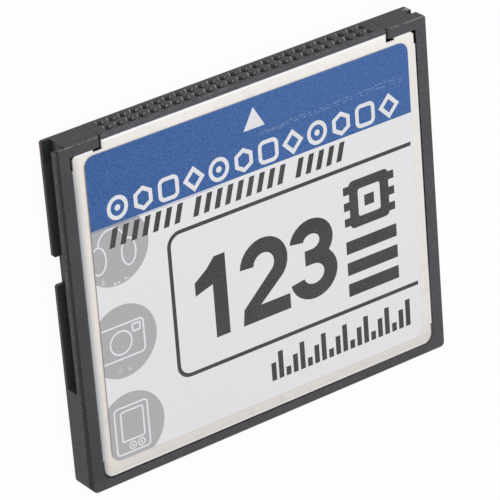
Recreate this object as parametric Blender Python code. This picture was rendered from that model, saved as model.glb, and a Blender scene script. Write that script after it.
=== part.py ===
"""Memory card, 42.8 x 36.4 x 3.3 mm, with a fifty-way socket header along one end.

The card lies on its back, with the printed front face up (+Z) and the socket
end towards +Y. The origin is at the middle of its back face. A moulded frame
with two ears carries everything else: the header slides between the ears on
two tongues, the circuit board lies on a ledge inside the rails, and two
stamped sheet panels drop into the openings of the frame, front and back.
"""

import math

import bmesh
import bpy
from mathutils import Matrix

# Overall sizes, in metres
CARD_WIDTH = 0.0428
CARD_LENGTH = 0.0364
CARD_THICKNESS = 0.0033
CORNER_RADIUS = 0.0005
EDGE_ROUND = 0.00012

# Guide grooves in the long sides, and the notch in each back flange
GROOVE_DEPTH = 0.00092
GROOVE_LENGTH = 0.0260
LEFT_FLANGE = 0.00048
LEFT_GROOVE_WIDTH = 0.0016
RIGHT_FLANGE = 0.0010
RIGHT_GROOVE_WIDTH = 0.00099
NOTCH_START = 0.0120
NOTCH_LENGTH = 0.0030
NOTCH_CORNER = 0.0002
LEAD_IN_LENGTH = 0.0005
LEAD_IN_OVERSHOOT = 0.00002

# Frame walls seen from the front
SIDE_RAIL_WIDTH = 0.0013
END_RAIL_WIDTH = 0.0010
EAR_STRIP = 0.0011
EAR_DEPTH = 0.0051
EAR_INNER_ROUND = 0.00055
SEAT_WIDTH = 0.00085
BOARD_LEDGE_WIDTH = 0.00095
POCKET_WIDTH = 0.0006
POCKET_DEPTH = 0.0008
LEFT_WALL_JOG = 0.0001

# Sheet panels
SHEET = 0.0002
SHEET_EDGE_ROUND = 0.0001
PANEL_GAP = 0.00005
PANEL_SIDE_JOG = 0.00015
PANEL_JOG_FROM_SHOULDER = 0.0015
PANEL_CORNER_RADIUS = 0.0010
PANEL_CORNER_CUT = 0.00035
RELIEF_WIDTH = 0.0010
RELIEF_DEPTH = 0.0003
SKIRT_DEPTH = 0.00035
SKIRT_INSET = 0.00002
SKIRT_END = 0.0020
SLOT_CLEARANCE = 0.00010
BACK_PANEL_RECESS = 0.00002

# Sticker on the front panel
LABEL_THICKNESS = 0.00008
LABEL_SIDE_MARGIN = 0.00118
LABEL_SOCKET_MARGIN = 0.00065
LABEL_END_MARGIN = 0.00130
LABEL_CORNER_RADIUS = 0.0011
LABEL_TURN = math.radians(-0.4)

# Header: two rows of socket contacts between the ears
CONTACTS_PER_ROW = 25
CONTACT_PITCH = 0.00127
ROW_PITCH = 0.00127
EAR_WIDTH = 0.00478
HEADER_END = 0.0013
HEADER_DEPTH = 0.0050
HEADER_FRONT_STEP = 0.00018
HEADER_STRIP = 0.0005
HEADER_EDGE = 0.00008
TONGUE_LENGTH = 0.0008
TONGUE_HEIGHT = 0.0008
TONGUE_SETBACK = 0.0018
TONGUE_ROOT = 0.00035
FUNNEL_DIAMETER = 0.00100
FUNNEL_DEPTH = 0.00040
BORE_DIAMETER = 0.00050
BORE_DEPTH = 0.0011
HOLE_OVERLAP = 0.0001
HOLE_SIDES = 12

# Fork contacts, stamped from strip
CONTACT_STRIP = 0.00030
CONTACT_HEIGHT = 0.00084
CONTACT_BASE = 0.0010
CONTACT_TIP_SETBACK = 0.0001
TINE_ROOT_GAP = 0.00024
TINE_TIP_GAP = 0.00018
TINE_MOUTH_GAP = 0.00028
TINE_LEAD_IN = 0.0003
TAIL_THICKNESS = 0.0002
TAIL_REACH = 0.0018

# Circuit board and what is soldered to it
BOARD_THICKNESS = 0.0006
BOARD_CLEARANCE = 0.0001
BOARD_TO_HEADER = 0.00025
CHIP_CLEARANCE = 0.00008
CHIP_STANDOFF = 0.00006
CHIP_EDGE = 0.0001
LEAD_THICKNESS = 0.00014
LEAD_WIDTH = 0.00022
LEAD_PITCH = 0.0005
LEAD_ROW_END = 0.0006
LEAD_REACH = 0.0008
LEAD_FOOT = 0.00045
MEMORY_LENGTH = 0.0184
MEMORY_WIDTH = 0.0120
MEMORY_LEADS_PER_END = 22
MEMORY_PLACE = (0.0, -0.0052)
CONTROLLER_SIZE = 0.0100
CONTROLLER_LEADS_PER_SIDE = 16
CONTROLLER_PLACE = (-0.0045, 0.0015)
CRYSTAL_LENGTH = 0.0050
CRYSTAL_WIDTH = 0.0032
CRYSTAL_HEIGHT = 0.0008
CRYSTAL_PLACE = (0.0080, 0.0040)
CAPACITOR_LENGTH = 0.0035
CAPACITOR_WIDTH = 0.0028
CAPACITOR_HEIGHT = 0.0009
CAPACITOR_PLACE = (0.0080, -0.0020)
PASSIVE_LENGTH = 0.0010
PASSIVE_WIDTH = 0.0005
PASSIVE_HEIGHT = 0.0004
PASSIVE_PITCH = 0.0018
PASSIVE_COUNT = 8
PASSIVE_ROW_SETBACK = 0.0038
PASSIVE_ROW_END = 0.0020

# Clearance between parts that seat on each other, and overshoot of cutters
SEAT_GAP = 0.00002
FIT_GAP = 0.00004
OVERCUT = 0.0010

# Heights and lines worked out from the sizes above
HALF_WIDTH = CARD_WIDTH / 2
SOCKET_END = CARD_LENGTH / 2
FAR_END = -CARD_LENGTH / 2
MID_HEIGHT = CARD_THICKNESS / 2

FRONT_SHEET_TOP = CARD_THICKNESS - LABEL_THICKNESS - SEAT_GAP
FRONT_SHEET_UNDER = FRONT_SHEET_TOP - SHEET
FRONT_SEAT = FRONT_SHEET_UNDER - SEAT_GAP
BACK_SHEET_OUTER = BACK_PANEL_RECESS
BACK_SHEET_INNER = BACK_SHEET_OUTER + SHEET
BACK_SEAT = BACK_SHEET_INNER + SEAT_GAP

OPENING_HALF_WIDTH = HALF_WIDTH - SIDE_RAIL_WIDTH
OPENING_FAR = FAR_END + END_RAIL_WIDTH
OPENING_SHOULDER = SOCKET_END - EAR_STRIP
INNER_HALF_WIDTH = OPENING_HALF_WIDTH - SEAT_WIDTH
INNER_FAR = OPENING_FAR + SEAT_WIDTH
EAR_REAR = SOCKET_END - EAR_DEPTH

BOARD_BACK = MID_HEIGHT - BOARD_THICKNESS / 2
BOARD_FRONT = MID_HEIGHT + BOARD_THICKNESS / 2
LEDGE_TOP = BOARD_BACK - SEAT_GAP
LEDGE_HALF_WIDTH = INNER_HALF_WIDTH - BOARD_LEDGE_WIDTH
LEDGE_FAR = INNER_FAR + BOARD_LEDGE_WIDTH
LEDGE_NEAR = EAR_REAR - BOARD_LEDGE_WIDTH

HEADER_HALF_WIDTH = HALF_WIDTH - EAR_WIDTH
HEADER_REAR = SOCKET_END - HEADER_DEPTH
HEADER_FRONT = CARD_THICKNESS - HEADER_FRONT_STEP
BAY_HALF_WIDTH = HEADER_HALF_WIDTH + FIT_GAP
TAB_HALF_WIDTH = HEADER_HALF_WIDTH - PANEL_GAP
STRIP_REAR = SOCKET_END - HEADER_STRIP
CAVITY_START = SOCKET_END - BORE_DEPTH
CAVITY_WIDTH = CONTACT_STRIP + 2 * FIT_GAP
CAVITY_HEIGHT = CONTACT_HEIGHT + 2 * FIT_GAP

SLOT_DEPTH = SKIRT_DEPTH + SLOT_CLEARANCE
SLOT_WALL = OPENING_HALF_WIDTH - SEAT_GAP
SLOT_WIDTH = SHEET + 2 * SLOT_CLEARANCE


def clear_scene():
    """Remove the objects that a new file starts with."""
    for item in list(bpy.data.objects):
        bpy.data.objects.remove(item, do_unlink=True)


def finish_material(name, colour, roughness, metallic=0.0):
    """One Principled material with a plain colour."""
    material = bpy.data.materials.new(name)
    material.use_nodes = True
    shader = material.node_tree.nodes["Principled BSDF"]
    shader.inputs["Base Color"].default_value = (*colour, 1.0)
    shader.inputs["Roughness"].default_value = roughness
    shader.inputs["Metallic"].default_value = metallic
    material.diffuse_color = (*colour, 1.0)
    return material


def rounded(points, radii, steps=5):
    """Outline whose corners are arcs of the given radii, or sharp where a radius is zero."""
    outline = []
    count = len(points)
    for index, (x, y) in enumerate(points):
        radius = radii[index]
        if radius == 0:
            outline.append((x, y))
            continue
        before = points[index - 1]
        after = points[(index + 1) % count]
        to_before = math.atan2(before[1] - y, before[0] - x)
        to_after = math.atan2(after[1] - y, after[0] - x)
        half = ((to_after - to_before) % math.tau) / 2
        if half > math.pi / 2:
            half -= math.pi
        middle = to_before + half
        reach = radius / math.sin(abs(half))
        centre = (x + reach * math.cos(middle), y + reach * math.sin(middle))
        sweep = math.copysign(math.pi - 2 * abs(half), half)
        start = middle + math.pi + sweep / 2
        for step in range(steps + 1):
            angle = start - sweep * step / steps
            outline.append((centre[0] + radius * math.cos(angle), centre[1] + radius * math.sin(angle)))
    return outline


def rectangle(x_low, x_high, y_low, y_high):
    """Corner points of a rectangle."""
    return [(x_low, y_low), (x_high, y_low), (x_high, y_high), (x_low, y_high)]


def row_places(count, pitch, room):
    """Places along a centred row at one pitch: as many of the full count as the room takes."""
    fitting = min(count, int(room / pitch) + 1)
    return [(number - (fitting - 1) / 2) * pitch for number in range(fitting)]


def pushed_outline(bm, outline, low, high, axis="Z"):
    """Add a closed prism to a mesh: an outline pushed from low to high along one axis."""
    place = {
        "X": lambda a, b, c: (c, a, b),
        "Y": lambda a, b, c: (a, c, b),
        "Z": lambda a, b, c: (a, b, c),
    }[axis]
    corners = [bm.verts.new(place(a, b, low)) for a, b in outline]
    face = bm.faces.new(corners)
    pushed = bmesh.ops.extrude_face_region(bm, geom=[face])
    moved = [item for item in pushed["geom"] if isinstance(item, bmesh.types.BMVert)]
    bmesh.ops.translate(bm, verts=moved, vec=place(0.0, 0.0, high - low))


def block(bm, x_low, x_high, y_low, y_high, z_low, z_high):
    """Add a rectangular block to a mesh."""
    pushed_outline(bm, rectangle(x_low, x_high, y_low, y_high), z_low, z_high)


def to_object(bm, name, material=None):
    """Turn a mesh under construction into a named object with its faces pointing out."""
    bmesh.ops.recalc_face_normals(bm, faces=bm.faces)
    mesh = bpy.data.meshes.new(name)
    bm.to_mesh(mesh)
    bm.free()
    item = bpy.data.objects.new(name, mesh)
    bpy.context.collection.objects.link(item)
    if material:
        mesh.materials.append(material)
    return item


def combine(target, bm, name, operation):
    """Join a tool solid to a part, or cut it out, with an exact boolean."""
    tool = to_object(bm, name)
    tool.hide_render = True
    tool.display_type = "WIRE"
    boolean = target.modifiers.new(name, "BOOLEAN")
    boolean.operation = operation
    boolean.solver = "EXACT"
    boolean.object = tool


def round_edges(bm, chosen, width, segments=2):
    """Round the chosen edges of a mesh."""
    edges = [edge for edge in bm.edges if chosen(edge)]
    bmesh.ops.bevel(bm, geom=edges, offset=width, segments=segments, profile=0.5, affect="EDGES")


def at_height(height):
    """Test for edges that lie wholly at one height."""
    def lies_there(edge):
        return all(abs(vert.co.z - height) < SEAT_GAP / 10 for vert in edge.verts)
    return lies_there


def opening_outline():
    """Outline of the frame's panel openings, seen from the front."""
    corners = rectangle(-OPENING_HALF_WIDTH, OPENING_HALF_WIDTH, OPENING_FAR, OPENING_SHOULDER)
    radius = PANEL_CORNER_RADIUS + PANEL_GAP
    return rounded(corners, [radius, radius, 0, 0])


def card_outline():
    """Outline of the whole card, seen from the front."""
    corners = rectangle(-HALF_WIDTH, HALF_WIDTH, FAR_END, SOCKET_END)
    return rounded(corners, [CORNER_RADIUS, CORNER_RADIUS, CORNER_RADIUS / 2, CORNER_RADIUS / 2])


def header_bay_outline():
    """Section of the bay between the ears, flared where the ears' inner edges are rounded."""
    flare = []
    steps = 4
    for step in range(steps + 1):
        angle = math.pi - step / steps * math.pi / 2
        x = BAY_HALF_WIDTH + EAR_INNER_ROUND * (1 + math.cos(angle))
        z = CARD_THICKNESS - EAR_INNER_ROUND * (1 - math.sin(angle))
        flare.append((x, z))
    side = [(BAY_HALF_WIDTH, -OVERCUT)] + flare
    side.append((BAY_HALF_WIDTH + EAR_INNER_ROUND, CARD_THICKNESS + OVERCUT))
    return side + [(-x, z) for x, z in reversed(side)]


def notch_outline(side):
    """Notch through one back flange, with its outer corners eased."""
    floor = HALF_WIDTH - GROOVE_DEPTH
    near = SOCKET_END - NOTCH_START
    far = near - NOTCH_LENGTH
    points = [
        (floor, far),
        (HALF_WIDTH - NOTCH_CORNER, far),
        (HALF_WIDTH + OVERCUT, far - NOTCH_CORNER - OVERCUT),
        (HALF_WIDTH + OVERCUT, near + NOTCH_CORNER + OVERCUT),
        (HALF_WIDTH - NOTCH_CORNER, near),
        (floor, near),
    ]
    return [(side * x, y) for x, y in points]


def skirt_slots(bm, z_low, z_high):
    """Add the three slots that take a panel's turned-down skirts."""
    ends = SLOT_CLEARANCE
    side_far = OPENING_FAR + SKIRT_END - ends
    side_near = OPENING_SHOULDER - PANEL_JOG_FROM_SHOULDER + ends
    for side in (-1, 1):
        outer = side * SLOT_WALL
        inner = side * (SLOT_WALL - SLOT_WIDTH)
        block(bm, min(outer, inner), max(outer, inner), side_far, side_near, z_low, z_high)
    across = OPENING_HALF_WIDTH - SKIRT_END + ends
    wall = OPENING_FAR + SEAT_GAP
    block(bm, -across, across, wall, wall + SLOT_WIDTH, z_low, z_high)


def lead_in_outline(groove_edge):
    """Side view of the wedge that slopes the end of the wall in front of the left guide groove."""
    sloped_to = CARD_THICKNESS - EDGE_ROUND
    steepness = (sloped_to - groove_edge) / LEAD_IN_LENGTH
    beyond = sloped_to + LEAD_IN_OVERSHOOT * steepness
    return [
        (SOCKET_END - LEAD_IN_LENGTH, groove_edge),
        (SOCKET_END + LEAD_IN_OVERSHOOT, beyond),
        (SOCKET_END + OVERCUT, beyond),
        (SOCKET_END + OVERCUT, groove_edge - LEAD_IN_LENGTH),
        (SOCKET_END - LEAD_IN_LENGTH, groove_edge - LEAD_IN_LENGTH),
    ]


def ear_pockets(bm):
    """Add the pockets beside and under the panel's cut corners, and those under its reliefs beside the tab."""
    low, high = FRONT_SEAT - POCKET_DEPTH, FRONT_SEAT + SEAT_GAP
    far, near = OPENING_SHOULDER - PANEL_JOG_FROM_SHOULDER, OPENING_SHOULDER - SEAT_GAP
    for side, wall in ((-1, OPENING_HALF_WIDTH + LEFT_WALL_JOG), (1, SLOT_WALL)):
        outer, inner = side * wall, side * (SLOT_WALL - POCKET_WIDTH)
        block(bm, min(outer, inner), max(outer, inner), far, near, low, CARD_THICKNESS + OVERCUT)
        outer, inner = side * (TAB_HALF_WIDTH + RELIEF_WIDTH), side * HEADER_HALF_WIDTH
        block(bm, min(outer, inner), max(outer, inner), OPENING_SHOULDER - RELIEF_DEPTH - SLOT_CLEARANCE, near,
              low, high)


def build_frame(material):
    """Moulded frame: two grooved rails, a far end bar and two ears."""
    bm = bmesh.new()
    pushed_outline(bm, card_outline(), 0.0, CARD_THICKNESS)
    round_edges(bm, lambda edge: at_height(0.0)(edge) or at_height(CARD_THICKNESS)(edge), EDGE_ROUND)
    frame = to_object(bm, "frame", material)

    bm = bmesh.new()
    block(bm, -INNER_HALF_WIDTH, INNER_HALF_WIDTH, INNER_FAR, EAR_REAR, LEDGE_TOP, CARD_THICKNESS + OVERCUT)
    combine(frame, bm, "board_opening_cutter", "DIFFERENCE")

    bm = bmesh.new()
    block(bm, -LEDGE_HALF_WIDTH, LEDGE_HALF_WIDTH, LEDGE_FAR, LEDGE_NEAR, -OVERCUT, LEDGE_TOP + SEAT_WIDTH)
    combine(frame, bm, "ledge_opening_cutter", "DIFFERENCE")

    bm = bmesh.new()
    pushed_outline(bm, header_bay_outline(), LEDGE_NEAR - SEAT_WIDTH, SOCKET_END + OVERCUT, "Y")
    combine(frame, bm, "header_bay_cutter", "DIFFERENCE")

    bm = bmesh.new()
    reach = HEADER_HALF_WIDTH + TONGUE_LENGTH + FIT_GAP
    half_height = TONGUE_HEIGHT / 2 + FIT_GAP
    block(bm, -reach, reach, EAR_REAR - SLOT_CLEARANCE, SOCKET_END - TONGUE_SETBACK + FIT_GAP,
          MID_HEIGHT - half_height, MID_HEIGHT + half_height)
    combine(frame, bm, "tongue_groove_cutter", "DIFFERENCE")

    bm = bmesh.new()
    pushed_outline(bm, opening_outline(), FRONT_SEAT, CARD_THICKNESS + OVERCUT)
    pushed_outline(bm, opening_outline(), -OVERCUT, BACK_SEAT)
    combine(frame, bm, "panel_opening_cutter", "DIFFERENCE")

    bm = bmesh.new()
    skirt_slots(bm, FRONT_SEAT - SLOT_DEPTH, FRONT_SEAT + SEAT_GAP)
    skirt_slots(bm, BACK_SEAT - SEAT_GAP, BACK_SEAT + SLOT_DEPTH)
    combine(frame, bm, "skirt_slot_cutter", "DIFFERENCE")

    bm = bmesh.new()
    ear_pockets(bm)
    combine(frame, bm, "ear_pocket_cutter", "DIFFERENCE")

    grooves = ((-1, LEFT_FLANGE, LEFT_GROOVE_WIDTH), (1, RIGHT_FLANGE, RIGHT_GROOVE_WIDTH))
    bm = bmesh.new()
    for side, flange, width in grooves:
        floor = side * (HALF_WIDTH - GROOVE_DEPTH)
        outside = side * (HALF_WIDTH + OVERCUT)
        block(bm, min(floor, outside), max(floor, outside), SOCKET_END - GROOVE_LENGTH, SOCKET_END + OVERCUT,
              flange, flange + width)
    combine(frame, bm, "groove_cutter", "DIFFERENCE")

    bm = bmesh.new()
    pushed_outline(bm, lead_in_outline(LEFT_FLANGE + LEFT_GROOVE_WIDTH), GROOVE_DEPTH - HALF_WIDTH,
                   -HALF_WIDTH - OVERCUT, "X")
    combine(frame, bm, "lead_in_cutter", "DIFFERENCE")

    bm = bmesh.new()
    for side, flange, width in grooves:
        pushed_outline(bm, notch_outline(side), -OVERCUT, flange + width / 2)
    combine(frame, bm, "notch_cutter", "DIFFERENCE")
    return frame


def panel_outline(with_tab):
    """Stamped outline of a panel: wider between its side jogs, relieved beside its tab."""
    wide = OPENING_HALF_WIDTH - PANEL_GAP
    narrow = wide - PANEL_SIDE_JOG
    far = OPENING_FAR + PANEL_GAP
    shoulder = OPENING_SHOULDER - PANEL_GAP
    jog_near = OPENING_SHOULDER - PANEL_JOG_FROM_SHOULDER
    jog_far = OPENING_FAR + SKIRT_END
    half = [
        (narrow, far, PANEL_CORNER_RADIUS),
        (narrow, jog_far, 0),
        (wide, jog_far, 0),
        (wide, jog_near, 0),
        (narrow, jog_near, 0),
        (narrow, shoulder - PANEL_CORNER_CUT, 0),
        (narrow - PANEL_CORNER_CUT, shoulder, 0),
    ]
    if with_tab:
        tab_edge = STRIP_REAR - PANEL_GAP
        half += [
            (TAB_HALF_WIDTH + RELIEF_WIDTH, shoulder, 0),
            (TAB_HALF_WIDTH + RELIEF_WIDTH, shoulder - RELIEF_DEPTH, 0),
            (TAB_HALF_WIDTH, shoulder - RELIEF_DEPTH, 0),
            (TAB_HALF_WIDTH, tab_edge, 0),
        ]
    whole = half + [(-x, y, radius) for x, y, radius in reversed(half)]
    return rounded([(x, y) for x, y, _ in whole], [radius for *_, radius in whole])


def build_panel(name, material, outer, inner, with_tab):
    """Sheet panel with its outer edge rolled and three skirts turned into the frame."""
    bm = bmesh.new()
    pushed_outline(bm, panel_outline(with_tab), inner, outer)
    round_edges(bm, at_height(outer), SHEET_EDGE_ROUND)
    panel = to_object(bm, name, material)

    inward = math.copysign(1.0, inner - outer)
    skirt_tip = inner + inward * SKIRT_DEPTH
    sheet_middle = (inner + outer) / 2
    low, high = min(skirt_tip, sheet_middle), max(skirt_tip, sheet_middle)
    edge = OPENING_HALF_WIDTH - PANEL_GAP - SKIRT_INSET
    far = OPENING_FAR + PANEL_GAP + SKIRT_INSET
    corner = OPENING_FAR + SKIRT_END + SKIRT_INSET
    jog_near = OPENING_SHOULDER - PANEL_JOG_FROM_SHOULDER - SKIRT_INSET
    across = OPENING_HALF_WIDTH - SKIRT_END - SKIRT_INSET
    bm = bmesh.new()
    block(bm, -edge, -edge + SHEET, corner, jog_near, low, high)
    block(bm, edge - SHEET, edge, corner, jog_near, low, high)
    block(bm, -across, across, far, far + SHEET, low, high)
    combine(panel, bm, name + "_skirts", "UNION")
    return panel


def build_label(material):
    """Thin sticker with rounded corners, put on slightly askew."""
    side = OPENING_HALF_WIDTH - PANEL_GAP - LABEL_SIDE_MARGIN
    near = OPENING_SHOULDER - PANEL_GAP - LABEL_SOCKET_MARGIN
    far = OPENING_FAR + PANEL_GAP + LABEL_END_MARGIN
    bm = bmesh.new()
    corners = rectangle(-side, side, far, near)
    low = FRONT_SHEET_TOP + SEAT_GAP
    pushed_outline(bm, rounded(corners, [LABEL_CORNER_RADIUS] * 4), low, low + LABEL_THICKNESS)
    bmesh.ops.rotate(bm, verts=bm.verts, cent=(0, 0, 0), matrix=Matrix.Rotation(LABEL_TURN, 3, "Z"))
    return to_object(bm, "front_label", material)


def header_section():
    """Side section of the header: step for the front tab, step for the back panel, eased face edges."""
    face = SOCKET_END
    back_step = OPENING_SHOULDER
    return [
        (HEADER_REAR, BACK_SEAT),
        (back_step, BACK_SEAT),
        (back_step, 0.0),
        (face - HEADER_EDGE, 0.0),
        (face, HEADER_EDGE),
        (face, HEADER_FRONT - HEADER_EDGE),
        (face - HEADER_EDGE, HEADER_FRONT),
        (STRIP_REAR, HEADER_FRONT),
        (STRIP_REAR, FRONT_SEAT),
        (HEADER_REAR, FRONT_SEAT),
    ]


def contact_places():
    """Row name, side of the middle plane, number and place across the card of each contact."""
    places = row_places(CONTACTS_PER_ROW, CONTACT_PITCH, 2 * (HEADER_HALF_WIDTH - HEADER_END))
    for row, side in (("front", 1), ("back", -1)):
        for number, across in enumerate(places, start=1):
            yield row, side, number, across


def funnel(bm, across, height):
    """Add one pin hole's cutter, turned about the pin's axis: lead-in cone, then bore."""
    rings = []
    flare = (FUNNEL_DIAMETER - BORE_DIAMETER) / 2 / FUNNEL_DEPTH
    profile = [
        (FUNNEL_DIAMETER / 2 + flare * HOLE_OVERLAP, SOCKET_END + HOLE_OVERLAP),
        (BORE_DIAMETER / 2, SOCKET_END - FUNNEL_DEPTH),
        (BORE_DIAMETER / 2, CAVITY_START - HOLE_OVERLAP),
    ]
    for radius, depth in profile:
        ring = []
        for step in range(HOLE_SIDES):
            angle = (step + 0.5) / HOLE_SIDES * math.tau
            x = across + radius * math.cos(angle)
            z = height + radius * math.sin(angle)
            ring.append(bm.verts.new((x, depth, z)))
        rings.append(ring)
    for upper, lower in zip(rings, rings[1:]):
        for step in range(HOLE_SIDES):
            after = (step + 1) % HOLE_SIDES
            bm.faces.new((upper[step], upper[after], lower[after], lower[step]))
    bm.faces.new(rings[0])
    bm.faces.new(rings[-1])


def build_header(material):
    """Socket header: fifty lead-in funnels, bores and contact cavities, and a tongue at each end."""
    bm = bmesh.new()
    pushed_outline(bm, header_section(), -HEADER_HALF_WIDTH, HEADER_HALF_WIDTH, "X")
    header = to_object(bm, "header", material)

    bm = bmesh.new()
    for side in (-1, 1):
        root = side * (HEADER_HALF_WIDTH - TONGUE_ROOT)
        tip = side * (HEADER_HALF_WIDTH + TONGUE_LENGTH)
        block(bm, min(root, tip), max(root, tip), HEADER_REAR + FIT_GAP, SOCKET_END - TONGUE_SETBACK,
              MID_HEIGHT - TONGUE_HEIGHT / 2, MID_HEIGHT + TONGUE_HEIGHT / 2)
    combine(header, bm, "header_tongues", "UNION")

    bm = bmesh.new()
    for _, side, _, across in contact_places():
        height = MID_HEIGHT + side * ROW_PITCH / 2
        block(bm, across - CAVITY_WIDTH / 2, across + CAVITY_WIDTH / 2, HEADER_REAR - OVERCUT, CAVITY_START,
              height - CAVITY_HEIGHT / 2, height + CAVITY_HEIGHT / 2)
    combine(header, bm, "contact_cavity_cutter", "DIFFERENCE")

    bm = bmesh.new()
    for _, side, _, across in contact_places():
        funnel(bm, across, MID_HEIGHT + side * ROW_PITCH / 2)
    combine(header, bm, "pin_hole_cutter", "DIFFERENCE")
    return header


def contact_outline(side):
    """Side view of one fork contact: two tines, a base and the tail soldered to the board."""
    middle = MID_HEIGHT + side * ROW_PITCH / 2
    half = CONTACT_HEIGHT / 2
    tip = CAVITY_START - CONTACT_TIP_SETBACK
    rear = HEADER_REAR + FIT_GAP
    root = rear + CONTACT_BASE
    tail_near = MID_HEIGHT + side * (BOARD_THICKNESS / 2 + SEAT_GAP)
    tail_far = tail_near + side * TAIL_THICKNESS
    tail_end = HEADER_REAR - TAIL_REACH
    points = [
        (rear, middle + side * half),
        (tip, middle + side * half),
        (tip, middle + side * TINE_MOUTH_GAP),
        (tip - TINE_LEAD_IN, middle + side * TINE_TIP_GAP),
        (root + TINE_ROOT_GAP, middle + side * TINE_ROOT_GAP),
        (root, middle),
        (root + TINE_ROOT_GAP, middle - side * TINE_ROOT_GAP),
        (tip - TINE_LEAD_IN, middle - side * TINE_TIP_GAP),
        (tip, middle - side * TINE_MOUTH_GAP),
        (tip, middle - side * half),
        (rear, middle - side * half),
        (rear, tail_near),
        (tail_end, tail_near),
        (tail_end, tail_far),
        (rear, tail_far),
    ]
    return points


def build_contacts(material):
    """Fifty fork contacts: one stamped shape for each row, placed at each pitch."""
    shapes = {}
    for row, side, number, across in contact_places():
        name = f"contact_{row}_{number:02d}"
        if row not in shapes:
            bm = bmesh.new()
            pushed_outline(bm, contact_outline(side), -CONTACT_STRIP / 2, CONTACT_STRIP / 2, "X")
            item = to_object(bm, name, material)
            shapes[row] = item.data
        else:
            item = bpy.data.objects.new(name, shapes[row])
            bpy.context.collection.objects.link(item)
        item.location.x = across


def build_board(material):
    """Circuit board with a row of small resistors and capacitors soldered near the header."""
    half_width = INNER_HALF_WIDTH - BOARD_CLEARANCE
    near = HEADER_REAR - BOARD_TO_HEADER
    bm = bmesh.new()
    block(bm, -half_width, half_width, INNER_FAR + BOARD_CLEARANCE, near, BOARD_BACK, BOARD_FRONT)
    board = to_object(bm, "circuit_board", material)

    bm = bmesh.new()
    row = near - PASSIVE_ROW_SETBACK
    for middle in row_places(PASSIVE_COUNT, PASSIVE_PITCH, 2 * (half_width - PASSIVE_ROW_END)):
        block(bm, middle - PASSIVE_WIDTH / 2, middle + PASSIVE_WIDTH / 2,
              row - PASSIVE_LENGTH / 2, row + PASSIVE_LENGTH / 2,
              BOARD_FRONT - PASSIVE_HEIGHT / 2, BOARD_FRONT + PASSIVE_HEIGHT)
    combine(board, bm, "small_passives", "UNION")
    return board


def lead_outline(body_side, lead_height, foot_height, outward):
    """Side view of one bent lead: out of the body, down, and a foot on the board."""
    tip = body_side + LEAD_REACH
    bend = tip - LEAD_FOOT
    into = body_side - LEAD_FOOT / 2
    top = lead_height + outward * LEAD_THICKNESS / 2
    under = lead_height - outward * LEAD_THICKNESS / 2
    foot_top = foot_height + outward * LEAD_THICKNESS
    return [
        (into, under),
        (bend, under),
        (bend, foot_height),
        (tip, foot_height),
        (tip, foot_top),
        (bend + LEAD_THICKNESS, foot_top),
        (bend + LEAD_THICKNESS, top),
        (into, top),
    ]


def build_chip(name, material, place, size, surface, outward, lead_rows):
    """Moulded chip package with bent leads along the named sides.

    surface is the board face that carries it, outward is 1 on the front face and -1 on the back,
    and lead_rows gives a full row of leads on each side at +X and -X, then on each at +Y and -Y.
    """
    limit = FRONT_SHEET_UNDER if outward > 0 else BACK_SHEET_INNER
    base = surface + outward * CHIP_STANDOFF
    top = limit - outward * CHIP_CLEARANCE
    half_x, half_y = size[0] / 2, size[1] / 2
    bm = bmesh.new()
    pushed_outline(bm, rectangle(-half_x, half_x, -half_y, half_y), base, top)
    round_edges(bm, at_height(top), CHIP_EDGE, segments=1)
    chip = to_object(bm, name, material)

    bm = bmesh.new()
    foot = surface + outward * SEAT_GAP
    sides = (("Y", lead_rows[0], half_x, half_y), ("X", lead_rows[1], half_y, half_x))
    for axis, leads, half, half_row in sides:
        section = lead_outline(half, (base + top) / 2, foot, outward)
        for middle in row_places(leads, LEAD_PITCH, 2 * (half_row - LEAD_ROW_END)):
            for side in (-1, 1):
                points = [(side * along, height) for along, height in section]
                pushed_outline(bm, points, middle - LEAD_WIDTH / 2, middle + LEAD_WIDTH / 2, axis)
    combine(chip, bm, name + "_leads", "UNION")
    move_with_tools(chip, place)
    return chip


def move_with_tools(item, place):
    """Place a part and the tool solids that its booleans use."""
    item.location.x, item.location.y = place
    for modifier in item.modifiers:
        modifier.object.parent = item


def build_component(name, material, place, length, width, height):
    """Small soldered component with eased top edges, on the front of the board."""
    base = BOARD_FRONT + SEAT_GAP
    bm = bmesh.new()
    block(bm, -length / 2, length / 2, -width / 2, width / 2, base, base + height)
    round_edges(bm, at_height(base + height), CHIP_EDGE, segments=1)
    item = to_object(bm, name, material)
    item.location.x, item.location.y = place
    return item


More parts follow.
